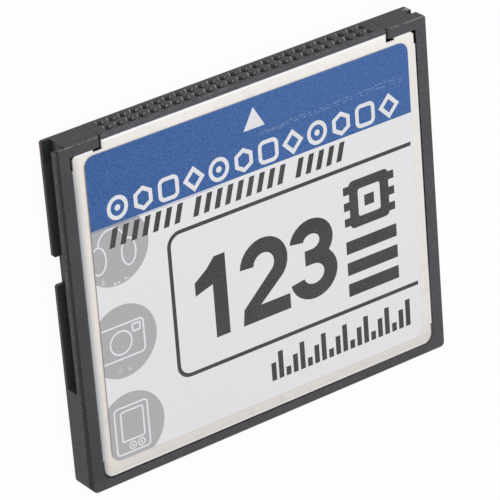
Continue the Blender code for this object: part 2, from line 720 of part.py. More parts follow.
def main():
    """Build every part of the card."""
    clear_scene()
    frame_plastic = finish_material("frame_plastic", (0.075, 0.075, 0.078), 0.55)
    header_plastic = finish_material("header_plastic", (0.068, 0.068, 0.070), 0.60)
    white_paint = finish_material("white_paint", (0.78, 0.74, 0.69), 0.45)
    steel = finish_material("steel", (0.62, 0.62, 0.62), 0.35, 1.0)
    label_film = finish_material("label_film", (0.74, 0.74, 0.76), 0.45)
    plated_bronze = finish_material("plated_bronze", (0.83, 0.68, 0.38), 0.30, 1.0)
    board_laminate = finish_material("board_laminate", (0.03, 0.16, 0.07), 0.50)
    chip_moulding = finish_material("chip_moulding", (0.03, 0.03, 0.03), 0.60)
    can_metal = finish_material("can_metal", (0.70, 0.69, 0.66), 0.30, 1.0)
    capacitor_body = finish_material("capacitor_body", (0.70, 0.42, 0.10), 0.50)

    build_frame(frame_plastic)
    build_panel("front_panel", white_paint, FRONT_SHEET_TOP, FRONT_SHEET_UNDER, True)
    build_panel("back_panel", steel, BACK_SHEET_OUTER, BACK_SHEET_INNER, False)
    build_label(label_film)
    build_header(header_plastic)
    build_contacts(plated_bronze)
    build_board(board_laminate)
    build_chip("controller_chip", chip_moulding, CONTROLLER_PLACE, (CONTROLLER_SIZE, CONTROLLER_SIZE),
               BOARD_FRONT, 1, (CONTROLLER_LEADS_PER_SIDE, CONTROLLER_LEADS_PER_SIDE))
    build_chip("memory_chip", chip_moulding, MEMORY_PLACE, (MEMORY_LENGTH, MEMORY_WIDTH),
               BOARD_BACK, -1, (MEMORY_LEADS_PER_END, 0))
    build_component("crystal", can_metal, CRYSTAL_PLACE, CRYSTAL_LENGTH, CRYSTAL_WIDTH, CRYSTAL_HEIGHT)
    build_component("capacitor", capacitor_body, CAPACITOR_PLACE, CAPACITOR_LENGTH, CAPACITOR_WIDTH,
                    CAPACITOR_HEIGHT)


main()
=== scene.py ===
"""Finishes, sticker print and studio stage for a fifty-way memory card.

The card's solids come from the packed frame and stay where they are. Each one gets a procedural
finish here. The print on the sticker is made of thin closed films of ink, and a pale floor with
soft light carries the whole.

Finishes are worked out in millimetres, and the print in metres. In a finish's constants an edge is
its place and its softness, and a band is its two edges and their softness.
"""

import math

import bmesh
import bpy
from bpy.props import FloatProperty, FloatVectorProperty, PointerProperty
from bpy.types import Operator, Panel, PropertyGroup
from mathutils import Matrix, Vector


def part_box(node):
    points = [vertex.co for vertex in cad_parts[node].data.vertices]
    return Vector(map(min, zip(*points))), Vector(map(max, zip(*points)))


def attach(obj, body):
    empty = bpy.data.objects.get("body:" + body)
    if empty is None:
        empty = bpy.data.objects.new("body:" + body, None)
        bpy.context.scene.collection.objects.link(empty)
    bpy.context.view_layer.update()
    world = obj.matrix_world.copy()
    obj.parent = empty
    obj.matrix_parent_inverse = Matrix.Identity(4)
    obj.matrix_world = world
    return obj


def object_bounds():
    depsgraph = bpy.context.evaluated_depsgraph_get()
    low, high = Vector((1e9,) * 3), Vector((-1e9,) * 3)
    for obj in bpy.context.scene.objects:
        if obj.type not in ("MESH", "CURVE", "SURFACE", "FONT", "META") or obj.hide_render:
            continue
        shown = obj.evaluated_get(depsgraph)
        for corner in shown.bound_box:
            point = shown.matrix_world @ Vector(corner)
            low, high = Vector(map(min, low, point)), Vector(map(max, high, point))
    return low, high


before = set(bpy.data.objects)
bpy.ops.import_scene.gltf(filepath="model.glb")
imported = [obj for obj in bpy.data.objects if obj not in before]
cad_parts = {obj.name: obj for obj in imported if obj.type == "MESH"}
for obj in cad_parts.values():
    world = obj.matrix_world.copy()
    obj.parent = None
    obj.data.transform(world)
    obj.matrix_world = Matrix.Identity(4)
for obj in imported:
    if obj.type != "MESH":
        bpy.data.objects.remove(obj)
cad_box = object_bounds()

bl_info = {
    "name": "Memory Card Finishes",
    "version": (1, 0, 0),
    "blender": (4, 5, 0),
    "location": "3D View > Sidebar > Card",
    "description": "Finishes, sticker print and studio stage for a fifty-way memory card",
    "category": "Object",
}

MM = 0.001
BODY = "root"

# Fineness of drawn curves
CORNER_STEPS = 8
ROUND_STEPS = 48

# Inks of the print: how far a film stands up, how much its shade varies, and its noise's shift
INKS = {
    "light_ink": (0.004 * MM, 0.04, 2.0),
    "dark_ink": (0.006 * MM, 0.45, 1.0),
}
INK_SINK = 0.002 * MM

# Reflection level of the plastics, paints and inks
SATIN_SPECULAR = 0.38


def millimetres(box):
    """Both corners of a box, in millimetres."""
    return [corner / MM for corner in box]


# Edges of the card, read from the frame
CARD_LOW, CARD_HIGH = millimetres(cad_box)
HEADER_LOW, HEADER_HIGH = millimetres(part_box("header"))
LABEL_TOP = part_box("front_label")[1].z
PANEL_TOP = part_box("front_panel")[1].z


def size(name, description, amount):
    """A length that a user can change, given in millimetres."""
    return FloatProperty(name=name, description=description, default=amount * MM, min=0.0,
                         unit="LENGTH", precision=5)


def metres(name, description, amount):
    """A length round the card, given in metres."""
    return FloatProperty(name=name, description=description, default=amount, unit="LENGTH")


def angle(name, description, degrees):
    """An angle that a user can change, given in degrees."""
    return FloatProperty(name=name, description=description, default=math.radians(degrees),
                         subtype="ANGLE")


def zone(name, description, *edges):
    """A rectangle on the sticker, given in millimetres."""
    description += ": left, lower, right, upper edge"
    return FloatVectorProperty(name=name, description=description, size=4, unit="LENGTH",
                               precision=5, default=[edge * MM for edge in edges])


def colour(name, description, red, green, blue):
    """A linear colour that a user can change."""
    return FloatVectorProperty(name=name, description=description, subtype="COLOR", size=3,
                               default=(red, green, blue), min=0.0, max=1.0)


def share(name, description, amount):
    """An amount from none to full."""
    return FloatProperty(name=name, description=description, default=amount, min=0.0, max=1.0,
                         subtype="FACTOR")


def strength(name, description, amount):
    """A plain number from nothing up."""
    return FloatProperty(name=name, description=description, default=amount, min=0.0)


class CARD_PG_moulding(PropertyGroup):
    """Dark moulded parts."""

    frame_colour: colour("Frame colour", "Plastic of the frame", 0.028, 0.028, 0.029)
    header_colour: colour("Header colour", "Plastic of the socket header", 0.0315, 0.0315, 0.0325)
    # Pale plastic for rubbed edges, also used as painted light and painted highlight
    rubbed_and_lit_colour: colour("Rubbed colour", "Plastic where its edges are rubbed pale",
                          0.26, 0.255, 0.24)
    soiled_colour: colour("Soiled colour", "Dirt along the back edges of the rails",
                          0.052, 0.035, 0.027)
    # Painted reflection: glinting streaks in the funnels and round their mouths
    painted_glint_colour: colour("Gleam colour", "Polished streaks in the funnels of the holes",
                         0.70, 0.70, 0.72)
    # Painted shade: near black laid where gaps, holes and recesses fall into shade
    painted_shade_colour: colour("Gap colour", "Plastic deep in gaps and holes", 0.002, 0.002, 0.002)
    rub_amount: share("Rub amount", "How pale the rubbed edges are", 0.80)


class CARD_PG_metal(PropertyGroup):
    """Sheet panels, contacts and soldered parts."""

    # Painted light: the paint runs from this lighter colour at the socket end to a shaded one at
    # the grip end
    paint_colour: colour("Paint colour", "Front panel's paint, at the socket end",
                         0.832, 0.797, 0.758)
    shaded_paint_colour: colour("Aged colour", "Front panel's paint, at the grip end", 0.781, 0.735, 0.700)
    # Painted highlight along the panel's rolled edges
    painted_highlight_colour: colour("Edge colour", "Paint on the panel's rolled edge along the header",
                        0.95, 0.95, 0.96)
    # Painted shade on the panel's rolled left edge
    rolled_shade_colour: colour("Rolled colour", "Paint on the panel's rolled left edge",
                          0.29, 0.315, 0.345)
    steel_colour: colour("Steel colour", "Bare sheet of the back panel", 0.60, 0.595, 0.585)
    gold_colour: colour("Gold colour", "Plating of the socket contacts", 0.86, 0.64, 0.28)
    tin_colour: colour("Tin colour", "Plating of the chips' leads", 0.70, 0.70, 0.69)


class CARD_PG_inside(PropertyGroup):
    """Circuit board and the parts on it."""

    mask_colour: colour("Mask colour", "Solder mask of the board", 0.012, 0.105, 0.040)
    track_colour: colour("Track colour", "Solder mask where copper lies under it",
                         0.020, 0.155, 0.060)
    package_colour: colour("Package colour", "Moulding of the chips", 0.020, 0.020, 0.021)
    capacitor_colour: colour("Capacitor colour", "Body of the large capacitor", 0.62, 0.34, 0.07)
    passive_colour: colour("Passive colour", "Ceramic of the small capacitors", 0.36, 0.25, 0.16)


class CARD_PG_sticker(PropertyGroup):
    """Film of the sticker and its fields of colour."""

    turn: angle("Turn", "How far the sticker is askew on the card", -0.4)
    film_colour: colour("Film colour", "Unprinted film", 0.757, 0.755, 0.772)
    band_colour: colour("Band colour", "Darker grain of the band along the socket end",
                        0.012, 0.071, 0.252)
    band_light: colour("Band light", "Lighter grain of that band", 0.056, 0.145, 0.382)
    disc_colour: colour("Disc colour", "Discs down the left side", 0.404, 0.403, 0.416)
    cut_colour: colour("Cut colour", "Cut edge of the film", 0.24, 0.205, 0.185)
    top_colour: colour("Top cut colour", "Cut edge of the film along the socket end",
                       0.34, 0.35, 0.42)
    band_edge: size("Band edge", "Lower edge of the band, from the card's middle", 8.80)
    disc_radius: size("Disc radius", "Radius of the discs", 3.82)
    disc_inset: size("Disc inset", "Middle of the discs, in from the sticker's left edge", 2.43)
    disc_heights: FloatVectorProperty(name="Disc heights", size=3, unit="LENGTH", precision=5,
                                      description="Middles of the discs, from the card's middle",
                                      default=[height * MM for height in (6.29, -3.485, -12.835)])


class CARD_PG_print(PropertyGroup):
    """Ink figures on the sticker."""

    dark_ink: colour("Dark ink", "Dark figures", 0.0415, 0.040, 0.040)
    light_ink: colour("Light ink", "Figures that stand out of the band and the discs",
                      0.745, 0.745, 0.775)
    arrow_zone: zone("Arrow", "Insertion arrow", -0.98, 13.2, 1.52, 15.4)
    title_zone: zone("Title row", "Row of open figures in the band", -16.9, 9.1, 17.4, 11.6)
    title_stroke: size("Title stroke", "Line width of the title row", 0.42)
    bold_zone: zone("Bold row", "Row of slanted bars under the band", -17.0, 6.45, 10.7, 8.4)
    bold_stroke: size("Bold stroke", "Width of the slanted bars", 0.62)
    bold_slant: size("Bold slant", "How far the slanted bars lean", 0.55)
    frame_zone: zone("Outline", "Open outline round the large numerals", -10.45, -9.80, 18.6, 5.51)
    frame_stroke: size("Outline stroke", "Line width of the outline", 0.415)
    frame_corner: size("Outline corner", "Radius of the outline's corners", 1.35)
    numeral_zone: zone("Numerals", "Large plain numerals", -8.1, -7.0, 8.9, 1.65)
    numeral_stroke: size("Numeral stroke", "Line width of the large numerals", 1.62)
    chip_zone: zone("Chip figure", "Bold chip figure at the right", 10.1, -1.2, 16.3, 3.9)
    bars_zone: zone("Bars", "Bold bars at the right", 10.1, -8.4, 16.3, -2.4)
    level_zone: zone("Level row", "Row of upright bars under the outline", 0.2, -14.1, 17.4, -10.95)
    level_stroke: size("Level stroke", "Width of the upright bars", 0.58)
    icon_stroke: size("Icon stroke", "Line width of the figures on the discs", 0.185)


class CARD_PG_stage(PropertyGroup):
    """Floor, lamp and camera."""

    floor_colour: colour("Floor colour", "Floor under the card", 0.90, 0.90, 0.90)
    floor_side: metres("Floor side", "Side of the square floor", 3.0)
    floor_glow: share("Floor glow", "How much of the seen floor is plain white", 0.93)
    world_strength: strength("World strength", "Even light from all round", 0.74)
    key_strength: strength("Key strength", "Radiance of the large lamp", 2.1)
    key_side: metres("Key side", "Side of the large square lamp", 0.5)
    key_distance: metres("Key distance", "From the card to the large lamp", 0.7)
    key_azimuth: angle("Key azimuth", "Side that the large lamp stands on", 200.0)
    key_elevation: angle("Key elevation", "Height angle of the large lamp", 58.0)
    target: FloatVectorProperty(name="Target", description="Point that the camera looks at",
                                default=(-0.00016, -0.00017, 0.00166), unit="LENGTH", precision=5)
    distance: metres("Distance", "From the target to the camera", 0.3668)
    azimuth: angle("Azimuth", "Side that the camera stands on, from -Y", 227.743)
    elevation: angle("Elevation", "Height angle of the camera", 47.718)
    roll: angle("Roll", "Turn of the camera about its own axis", 119.136)
    lens: FloatProperty(name="Lens", description="Focal length in millimetres, on a 36 mm sensor",
                        default=274.137, min=1.0)


SETTINGS = {
    "card_moulding": CARD_PG_moulding,
    "card_metal": CARD_PG_metal,
    "card_inside": CARD_PG_inside,
    "card_sticker": CARD_PG_sticker,
    "card_print": CARD_PG_print,
    "card_stage": CARD_PG_stage,
}


class Signal:
    """An output socket. Python's operators on it add Math nodes."""

    def __init__(self, nodes, socket):
        self.nodes = nodes
        self.socket = socket

    def __add__(self, other):
        return self.nodes.maths("ADD", self, other)

    def __sub__(self, other):
        return self.nodes.maths("SUBTRACT", self, other)

    def __rsub__(self, other):
        return self.nodes.maths("SUBTRACT", other, self)

    def __mul__(self, other):
        return self.nodes.maths("MULTIPLY", self, other)

    def __truediv__(self, other):
        return self.nodes.maths("DIVIDE", self, other)

    def __abs__(self):
        return self.nodes.maths("ABSOLUTE", self)

    def __pow__(self, other):
        return self.nodes.maths("POWER", self, other)

    def beside(self, output):
        """Another output of the node that this signal comes from."""
        return Signal(self.nodes, self.socket.node.outputs[output])

    __radd__ = __add__
    __rmul__ = __mul__


class Nodes:
    """Adds nodes to one tree and hands back their outputs as signals."""

    def __init__(self, tree):
        self.tree = tree

    def feed(self, socket, value):
        """Link a signal to a socket, or set the socket's own value."""
        if isinstance(value, Signal):
            self.tree.links.new(value.socket, socket)
        elif socket.type == "RGBA":
            socket.default_value = (*value, 1.0)
        else:
            socket.default_value = value

    def node(self, kind, settings=None, inputs=None, output=0):
        """Add a node: its settings first, then its sockets by name or number."""
        node = self.tree.nodes.new(kind)
        for name, value in (settings or {}).items():
            setattr(node, name, value)
        for name, value in (inputs or {}).items():
            self.feed(node.inputs[name], value)
        return Signal(self, node.outputs[output]) if node.outputs else None

    def maths(self, operation, *values, clamped=False):
        """A Math node, on signals and numbers."""
        settings = {"operation": operation, "use_clamp": clamped}
        return self.node("ShaderNodeMath", settings, dict(enumerate(values)))

    def either(self, first, *others):
        """The largest of some masks."""
        for other in others:
            first = self.maths("MAXIMUM", first, other)
        return first

    def least(self, first, *others):
        """The smallest of some values."""
        for other in others:
            first = self.maths("MINIMUM", first, other)
        return first

    def clamp(self, value):
        """The value held between 0 and 1."""
        return self.maths("ADD", value, 0.0, clamped=True)

    def rise(self, value, low, high):
        """0 at one value and 1 at another, straight between them and held beyond."""
        return self.clamp((value - low) / (high - low))

    def above(self, value, edge, softness):
        """1 where a value is above an edge, 0 below it, with a soft step between."""
        return self.clamp((value - edge) / softness + 0.5)

    def below(self, value, edge, softness):
        """1 where a value is below an edge, 0 above it, with a soft step between."""
        return 1 - self.above(value, edge, softness)

    def between(self, value, low, high, softness):
        """1 where a value lies between two edges."""
        return self.above(value, low, softness) * self.below(value, high, softness)

    def length(self, *values):
        """Distance from the point where all the values are zero."""
        total = values[0] * values[0]
        for value in values[1:]:
            total = total + value * value
        return self.maths("SQRT", total)

    def near(self, reach, *values):
        """1 where all the values are zero, falling to 0 at the reach."""
        return self.clamp(1 - self.length(*values) / reach)

    def mix(self, low, high, amount):
        """Blend of two colours."""
        return self.node("ShaderNodeMix", {"data_type": "RGBA"}, {0: amount, 6: low, 7: high},
                         output=2)

    def times(self, first, second):
        """Two colours multiplied, part by part."""
        return self.node("ShaderNodeVectorMath", {"operation": "MULTIPLY"}, {0: first, 1: second})

    def scale(self, vector, factor):
        """A colour made lighter or darker, or a place made longer."""
        return self.node("ShaderNodeVectorMath", {"operation": "SCALE"},
                         {0: vector, "Scale": factor})


class Finish(Nodes):
    """A Principled material under construction. Its places and distances are in millimetres."""

    def __init__(self, name):
        self.material = bpy.data.materials.new(name)
        self.material.use_nodes = True
        super().__init__(self.material.node_tree)
        self.shader = self.tree.nodes["Principled BSDF"]
        self.set("Specular IOR Level", SATIN_SPECULAR)
        self.place = self.scale(self.node("ShaderNodeTexCoord", output="Object"), 1 / MM)
        self.x = self.node("ShaderNodeSeparateXYZ", None, {0: self.place})
        self.y, self.z = self.x.beside("Y"), self.x.beside("Z")

    def set(self, name, value):
        """Feed one socket of the shader."""
        self.feed(self.shader.inputs[name], value)

    def paint(self, base, roughness, metallic=0.0):
        """Feed the shader's colour, roughness and metallic share."""
        self.set("Base Color", base)
        self.set("Roughness", roughness)
        self.set("Metallic", metallic)

    def bump(self, height, depth):
        """Relief of a height from 0 to 1, so many millimetres deep."""
        relief = {"Height": height, "Distance": depth * MM}
        self.set("Normal", self.node("ShaderNodeBump", None, relief))

    def dress(self, *names):
        """Give CAD nodes this finish."""
        for name in names:
            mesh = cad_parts[name].data
            mesh.materials.clear()
            mesh.materials.append(self.material)

    def mapped(self, shift, stretch):
        """The place, moved and stretched."""
        inputs = {"Vector": self.place, "Location": (shift, shift, shift), "Scale": stretch}
        return self.node("ShaderNodeMapping", None, inputs)

    def noise(self, per_mm, detail=2.0, stretch=(1.0, 1.0, 1.0), shift=0.0):
        """Noise from 0 to 1, with so many features in a millimetre."""
        inputs = {"Vector": self.mapped(shift, stretch), "Scale": per_mm, "Detail": detail}
        return self.node("ShaderNodeTexNoise", None, inputs)

    def specks(self, per_mm, radius, kept, shift=0.0):
        """Small round specks: so many cells in a millimetre, of which the kept share hold one."""
        inputs = {"Vector": self.mapped(shift, (1.0, 1.0, 1.0)), "Scale": per_mm}
        cells = self.node("ShaderNodeTexVoronoi", None, inputs)
        chance = self.node("ShaderNodeSeparateColor", None, {0: cells.beside("Color")})
        inside = self.clamp((radius - cells / per_mm) / radius * 3)
        return inside * self.above(kept - chance, 0.0, 0.01)

    def shades(self, base, dark, light, amount):
        """A colour that runs between darker and lighter shades of itself."""
        return self.scale(base, dark + (light - dark) * amount)

    def contrast(self, value, gain):
        """Noise spread out about its middle."""
        return self.clamp((value - 0.5) * gain + 0.5)


class Moulded(Finish):
    """Dark satin plastic: spark-eroded grain, drifting shade, dust and edges rubbed pale."""

    # Speckled rubbing: the edge that an unrubbed line's noise would need, what a full share of
    # rubbing takes off it, and the softness
    RUB_EDGE = 0.66
    RUB_SHARE = 0.32
    RUB_SOFTNESS = 0.07

    def __init__(self, name, base, look, seed):
        super().__init__(name)
        self.look = look
        self.seed = seed
        grain = self.noise(7.5, detail=3.0, shift=seed)
        mottle = self.noise(3.0, detail=4.0, shift=seed)
        drift = self.noise(0.22, detail=2.0, shift=seed)
        shade = self.contrast(drift * 0.2 + mottle * 0.35 + grain * 0.45, 3.4)
        self.bump(grain + 0.3 * self.noise(22.0, detail=1.0, shift=seed), 0.012)
        self.plain = self.shades(base, 0.62, 1.42, shade)
        self.rough = 0.44 + 0.16 * grain + 0.10 * drift

    def wear(self, edges):
        """Rubbed edges, broken up along their length.

        Each edge is two axes with the values where it runs, how far the rubbing reaches from it,
        and the share of its length that is rubbed.
        """
        axes = {"x": self.x, "y": self.y, "z": self.z}
        coarse = self.noise(0.5, detail=2.0, shift=self.seed)
        fine = self.noise(3.8, detail=4.0, shift=self.seed)
        chance = coarse * 0.35 + fine * 0.65
        worn = 0.0
        for first, first_at, second, second_at, reach, rubbed_share in edges:
            line = self.near(reach, axes[first] - first_at, axes[second] - second_at)
            rubbed = self.above(chance, self.RUB_EDGE - self.RUB_SHARE * rubbed_share,
                                self.RUB_SOFTNESS)
            worn = self.either(line * rubbed, worn)
        return worn

    def rub_and_light(self, plastic, amount):
        """Plastic made pale by an amount: rubbed wear, and painted light where it is laid on a
        gap's corner and a highlight line.
        """
        return self.mix(plastic, self.look.rubbed_and_lit_colour, amount)

    def paint_shade(self, plastic, amount):
        """Plastic darkened by an amount towards the painted shade colour, for painted shade in
        gaps, holes and recesses.
        """
        return self.mix(plastic, self.look.painted_shade_colour, amount)

    def handled(self, plastic, edges):
        """Plastic with dust on it and its edges rubbed pale."""
        dust = self.specks(1.6, 0.06, 0.09, shift=self.seed) * 0.4
        return self.rub_and_light(plastic, self.either(self.wear(edges) * self.look.rub_amount, dust))


class CARD_OT_frame(Operator):
    """Give the moulded frame its finish"""

    bl_idname = "card.frame"
    bl_label = "Moulded Frame"

    # Painted light: how much lighter than plain its faces are made by the way they face, the rails'
    # fronts from the lower left to the upper right, the sides, and the right end of the socket end;
    # the fronts also get a bluish painted sheen
    FRONT_PAINTED_LIGHTS = (0.20, 1.15)
    SIDE_PAINTED_LIGHT = 0.30
    END_PAINTED_LIGHT = 0.16
    FRONT_PAINTED_SHEEN = (0.98, 0.97, 1.06)

    # Faces, by the depth from the front, the distance from the side and from the socket end, and
    # the share of the length from the grip end
    FRONT_DEPTH = (0.06, 0.04)
    END_DEPTH = (0.05, 0.04)
    GRIP_SHARE = (0.03, 0.02)

    # Painted shade: a dark strip down the sides behind the front, over the edge's rounding: its
    # depth and softness at the socket end, and what the grip end adds
    SHADED_RIM_DEPTHS = (0.68, 0.16)
    SHADED_RIM_SOFTNESS = (0.75, -0.65)
    SHADED_RIM_SIDE = (0.06, 0.10)

    # Painted light on the ramp and painted shade in the pocket at the grooves' open ends: distance
    # from the socket end, and depth
    LIT_RAMP = ((1.6, 0.3), (0.90, 2.10, 0.2))
    SHADED_POCKET = ((2.2, 1.0), (2.05, 2.85, 0.6))
    GROOVE_SIDE = (0.12, 1.2, 0.06)

    # Soiled strip down the sides at the back
    FLANGE_DEPTH = (CARD_HIGH.z - 0.55, 0.1)
    FLANGE_SIDE = (0.09, 0.08)
    STAIN_SHARE = (0.30, 0.1)

    EDGES = (
        ("y", CARD_HIGH.y, "z", CARD_HIGH.z, 0.17, 0.60),
        ("x", CARD_LOW.x, "y", CARD_HIGH.y, 0.14, 0.55),
        ("x", CARD_HIGH.x, "y", CARD_HIGH.y, 0.14, 0.40),
        ("x", CARD_HIGH.x, "z", CARD_HIGH.z, 0.12, 0.20),
        ("x", CARD_HIGH.x, "z", CARD_LOW.z, 0.14, 0.30),
        # Painted highlight: a pale line along the left side's face behind the front
        ("x", CARD_LOW.x, "z", CARD_HIGH.z - 0.82, 0.10, 0.25),
    )

    # Small chips on the left side's front edge: from the socket end, from the front, and reach
    CHIPS = ((0.05, 0.72, 0.16), (0.62, 0.66, 0.10), (11.0, 0.55, 0.09), (12.1, 0.60, 0.08))

    # Scuffed patch on the right ear: its middle from the right, the socket end and the front, how
    # much it is squeezed along each, and its reach
    SCUFF_MIDDLE = (0.3, 0.0, 2.5)
    SCUFF_SQUEEZE = (0.8, 2.0, 1.2)
    SCUFF_REACH = 0.9
    SCUFF_EDGE = (0.64, 0.10)

    # Painted shade in the gap round the front panel: its depths, how far it reaches past the panel,
    # and where it ends before the header's socket face. In the corner on the right at the grip end
    # it is painted light instead.
    GAP_DEPTHS = ((0.10, 0.04), (1.6, 0.3))
    GAP_REACH = 0.2
    GAP_END = 1.09
    GAP_SOFTNESS = 0.02
    LIGHT_CORNER = (0.70, 0.12)

    def execute(self, context):
        look = context.scene.card_moulding
        finish = Moulded("frame_moulding", look.frame_colour, look, 0.0)
        depth = CARD_HIGH.z - finish.z
        from_side = CARD_HIGH.x - abs(finish.x)
        from_end = CARD_HIGH.y - finish.y
        rightward = finish.rise(finish.x, CARD_LOW.x, CARD_HIGH.x)
        upward = finish.rise(finish.y, CARD_LOW.y, CARD_HIGH.y)

        # Painted light: each face made lighter by how it faces, the fronts more towards the upper
        # right and tinted by a painted sheen
        front = finish.below(depth, *self.FRONT_DEPTH)
        end = finish.below(from_end, *self.END_DEPTH)
        grip_end = finish.below(upward, *self.GRIP_SHARE)
        paler = finish.clamp(rightward * 0.75 + upward * 0.42 + grip_end * (0.45 - rightward * 0.5))
        least, most = self.FRONT_PAINTED_LIGHTS
        lift = front * (least + (most - least) * paler)
        end_lift = end * (self.SIDE_PAINTED_LIGHT - rightward * self.END_PAINTED_LIGHT)
        lift = lift + (1 - front) * (self.SIDE_PAINTED_LIGHT - end_lift)
        plastic = finish.scale(finish.plain, lift + 1)
        plastic = finish.mix(plastic, finish.times(plastic, self.FRONT_PAINTED_SHEEN), front)

        # Painted shade down the sides just behind the front
        lower = (1 - upward) ** 3
        rim = finish.below(depth, self.SHADED_RIM_DEPTHS[0] + self.SHADED_RIM_DEPTHS[1] * lower,
                           self.SHADED_RIM_SOFTNESS[0] + self.SHADED_RIM_SOFTNESS[1] * lower)
        rim = rim * finish.below(from_side, *self.SHADED_RIM_SIDE)
        plastic = finish.paint_shade(plastic, rim * 0.9)
        # Painted light on the grooves' lead-in ramps, painted shade in their pockets
        ramp, pocket = (
            finish.below(from_end, *reach) * (1 - end) * finish.between(depth, *depths)
            * finish.between(from_side, *self.GROOVE_SIDE)
            for reach, depths in (self.LIT_RAMP, self.SHADED_POCKET))
        plastic = finish.paint_shade(finish.scale(plastic, 1 + 0.6 * ramp), pocket * 0.9)
        stain = finish.above(depth, *self.FLANGE_DEPTH) * finish.below(from_side, *self.FLANGE_SIDE)
        stain = stain * finish.above(upward, *self.STAIN_SHARE)
        stain = stain * (0.75 + 0.25 * finish.noise(1.2, detail=3.0, shift=6.0))
        plastic = finish.mix(plastic, look.soiled_colour, stain)

        plastic = finish.handled(plastic, self.EDGES)
        for far, deep, reach in self.CHIPS:
            chip = finish.near(reach, finish.x - CARD_LOW.x, from_end - far, depth - deep)
            plastic = finish.rub_and_light(plastic, finish.clamp(chip * 2.0))
        places = (CARD_HIGH.x - finish.x, from_end, depth)
        scuffed = finish.near(self.SCUFF_REACH, *(
            (place - middle) * squeeze
            for place, middle, squeeze in zip(places, self.SCUFF_MIDDLE, self.SCUFF_SQUEEZE)))
        scuffed = scuffed * 0.5 + finish.noise(7.0, detail=5.0, shift=2.0) * 0.7
        plastic = finish.rub_and_light(plastic, finish.above(scuffed, *self.SCUFF_EDGE) * 0.9)

        # Painted shade in the gap round the panel, painted light in its right corner at the grip
        # end
        low, high = millimetres(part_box("front_panel"))
        nearest, deepest = self.GAP_DEPTHS
        gap = finish.above(depth, *nearest) * finish.below(depth, *deepest)
        gap = gap * finish.between(finish.x, low.x - self.GAP_REACH, high.x + self.GAP_REACH,
                                   self.GAP_SOFTNESS)
        gap = gap * finish.between(finish.y, low.y - self.GAP_REACH, HEADER_HIGH.y - self.GAP_END,
                                   self.GAP_SOFTNESS)
        corner = finish.above(rightward - upward, *self.LIGHT_CORNER)
        plastic = finish.paint_shade(finish.rub_and_light(plastic, gap * corner * 0.7), gap * (1 - corner))
        finish.paint(plastic, finish.either(finish.rough, rim * 0.72, pocket * 0.9))
        finish.dress("frame")
        return {"FINISHED"}


class CARD_OT_header(Operator):
    """Give the socket header its finish"""

    bl_idname = "card.header"
    bl_label = "Socket Header"

    # Painted light: the header's front face made lighter and bluer
    FRONT_PAINTED_SHEEN = (2.12, 2.12, 2.45)
    EDGES = (
        ("y", HEADER_HIGH.y, "z", HEADER_HIGH.z, 0.12, 0.36),
        ("y", HEADER_HIGH.y, "z", HEADER_LOW.z, 0.12, 0.20),
    )

    # Holes: how many in a row, their pitch, and the reach of the bore, of the painted shade, of the
    # funnel and of the rim round it; funnel and rim carry painted reflections
    HOLES = 25
    PITCH = 1.27
    BORE = (0.26, 0.03)
    SHADE = (0.42, 0.08)
    FUNNEL = (0.50, 0.03)
    RIM = (0.47, 0.58, 0.03)
    FIELD_SOFTNESS = 0.02

    # Painted reflections: glinting streaks in the funnels, by direction in degrees and distance
    # from the hole's middle
    LEFT_STREAK = (248, 0.33)
    RIGHT_STREAK = (-16, 0.37)
    STREAK_WIDTH = (0.972, 0.035)
    STREAK_SOFTNESS = 0.06

    def execute(self, context):
        look = context.scene.card_moulding
        finish = Moulded("header_moulding", look.header_colour, look, 5.0)
        # Painted light on the header's front face
        front = finish.above(finish.z, HEADER_HIGH.z - 0.06, 0.05)
        plastic = finish.mix(finish.plain, finish.times(finish.plain, self.FRONT_PAINTED_SHEEN), front)
        plastic = finish.handled(plastic, self.EDGES)

        pitch = self.PITCH
        height = finish.z - (CARD_LOW.z + CARD_HIGH.z) / 2
        beside = finish.maths("WRAP", finish.x, pitch / 2, -pitch / 2)
        over = finish.maths("WRAP", height, pitch, 0.0) - pitch / 2
        reach = finish.length(beside, over)
        field = finish.below(abs(finish.x), self.HOLES * pitch / 2, self.FIELD_SOFTNESS)
        field = field * finish.below(abs(height), pitch, self.FIELD_SOFTNESS)
        inside = field * finish.below(finish.y, HEADER_HIGH.y - 0.02, 0.02)
        # Painted shade in the bores and inner funnels
        shaded = finish.below(reach, *self.SHADE) * inside
        shaded = finish.either(finish.below(reach, *self.BORE), 0.8) * shaded

        # Painted reflections in the funnels and a painted highlight round each mouth
        left, right = (self.streak(finish, beside, over, reach, degrees, start)
                       for degrees, start in (self.LEFT_STREAK, self.RIGHT_STREAK))
        patchy = 0.55 + finish.contrast(finish.noise(0.9, detail=3.0, shift=4.0), 3.0) * 0.45
        rightward = finish.rise(finish.x, -HEADER_HIGH.x, HEADER_HIGH.x)
        painted_glint = finish.either(left * 0.58, right * (0.52 - 0.36 * rightward)) * patchy
        funnel = finish.below(reach, *self.FUNNEL) * inside
        rim = finish.between(reach, *self.RIM) * field * 0.35
        plastic = finish.mix(finish.paint_shade(plastic, shaded), look.painted_glint_colour,
                             finish.either(funnel, rim) * painted_glint)
        finish.paint(plastic, finish.either(finish.rough, shaded * 0.85))
        finish.dress("header")
        return {"FINISHED"}

    def streak(self, finish, beside, over, reach, degrees, start):
        """1 on a narrow streak that runs out from each hole in one direction."""
        turn = math.radians(degrees)
        towards = (beside * math.cos(turn) + over * math.sin(turn)) / (reach + 0.001)
        along = finish.above(reach, start, self.STREAK_SOFTNESS)
        return finish.above(towards, *self.STREAK_WIDTH) * along


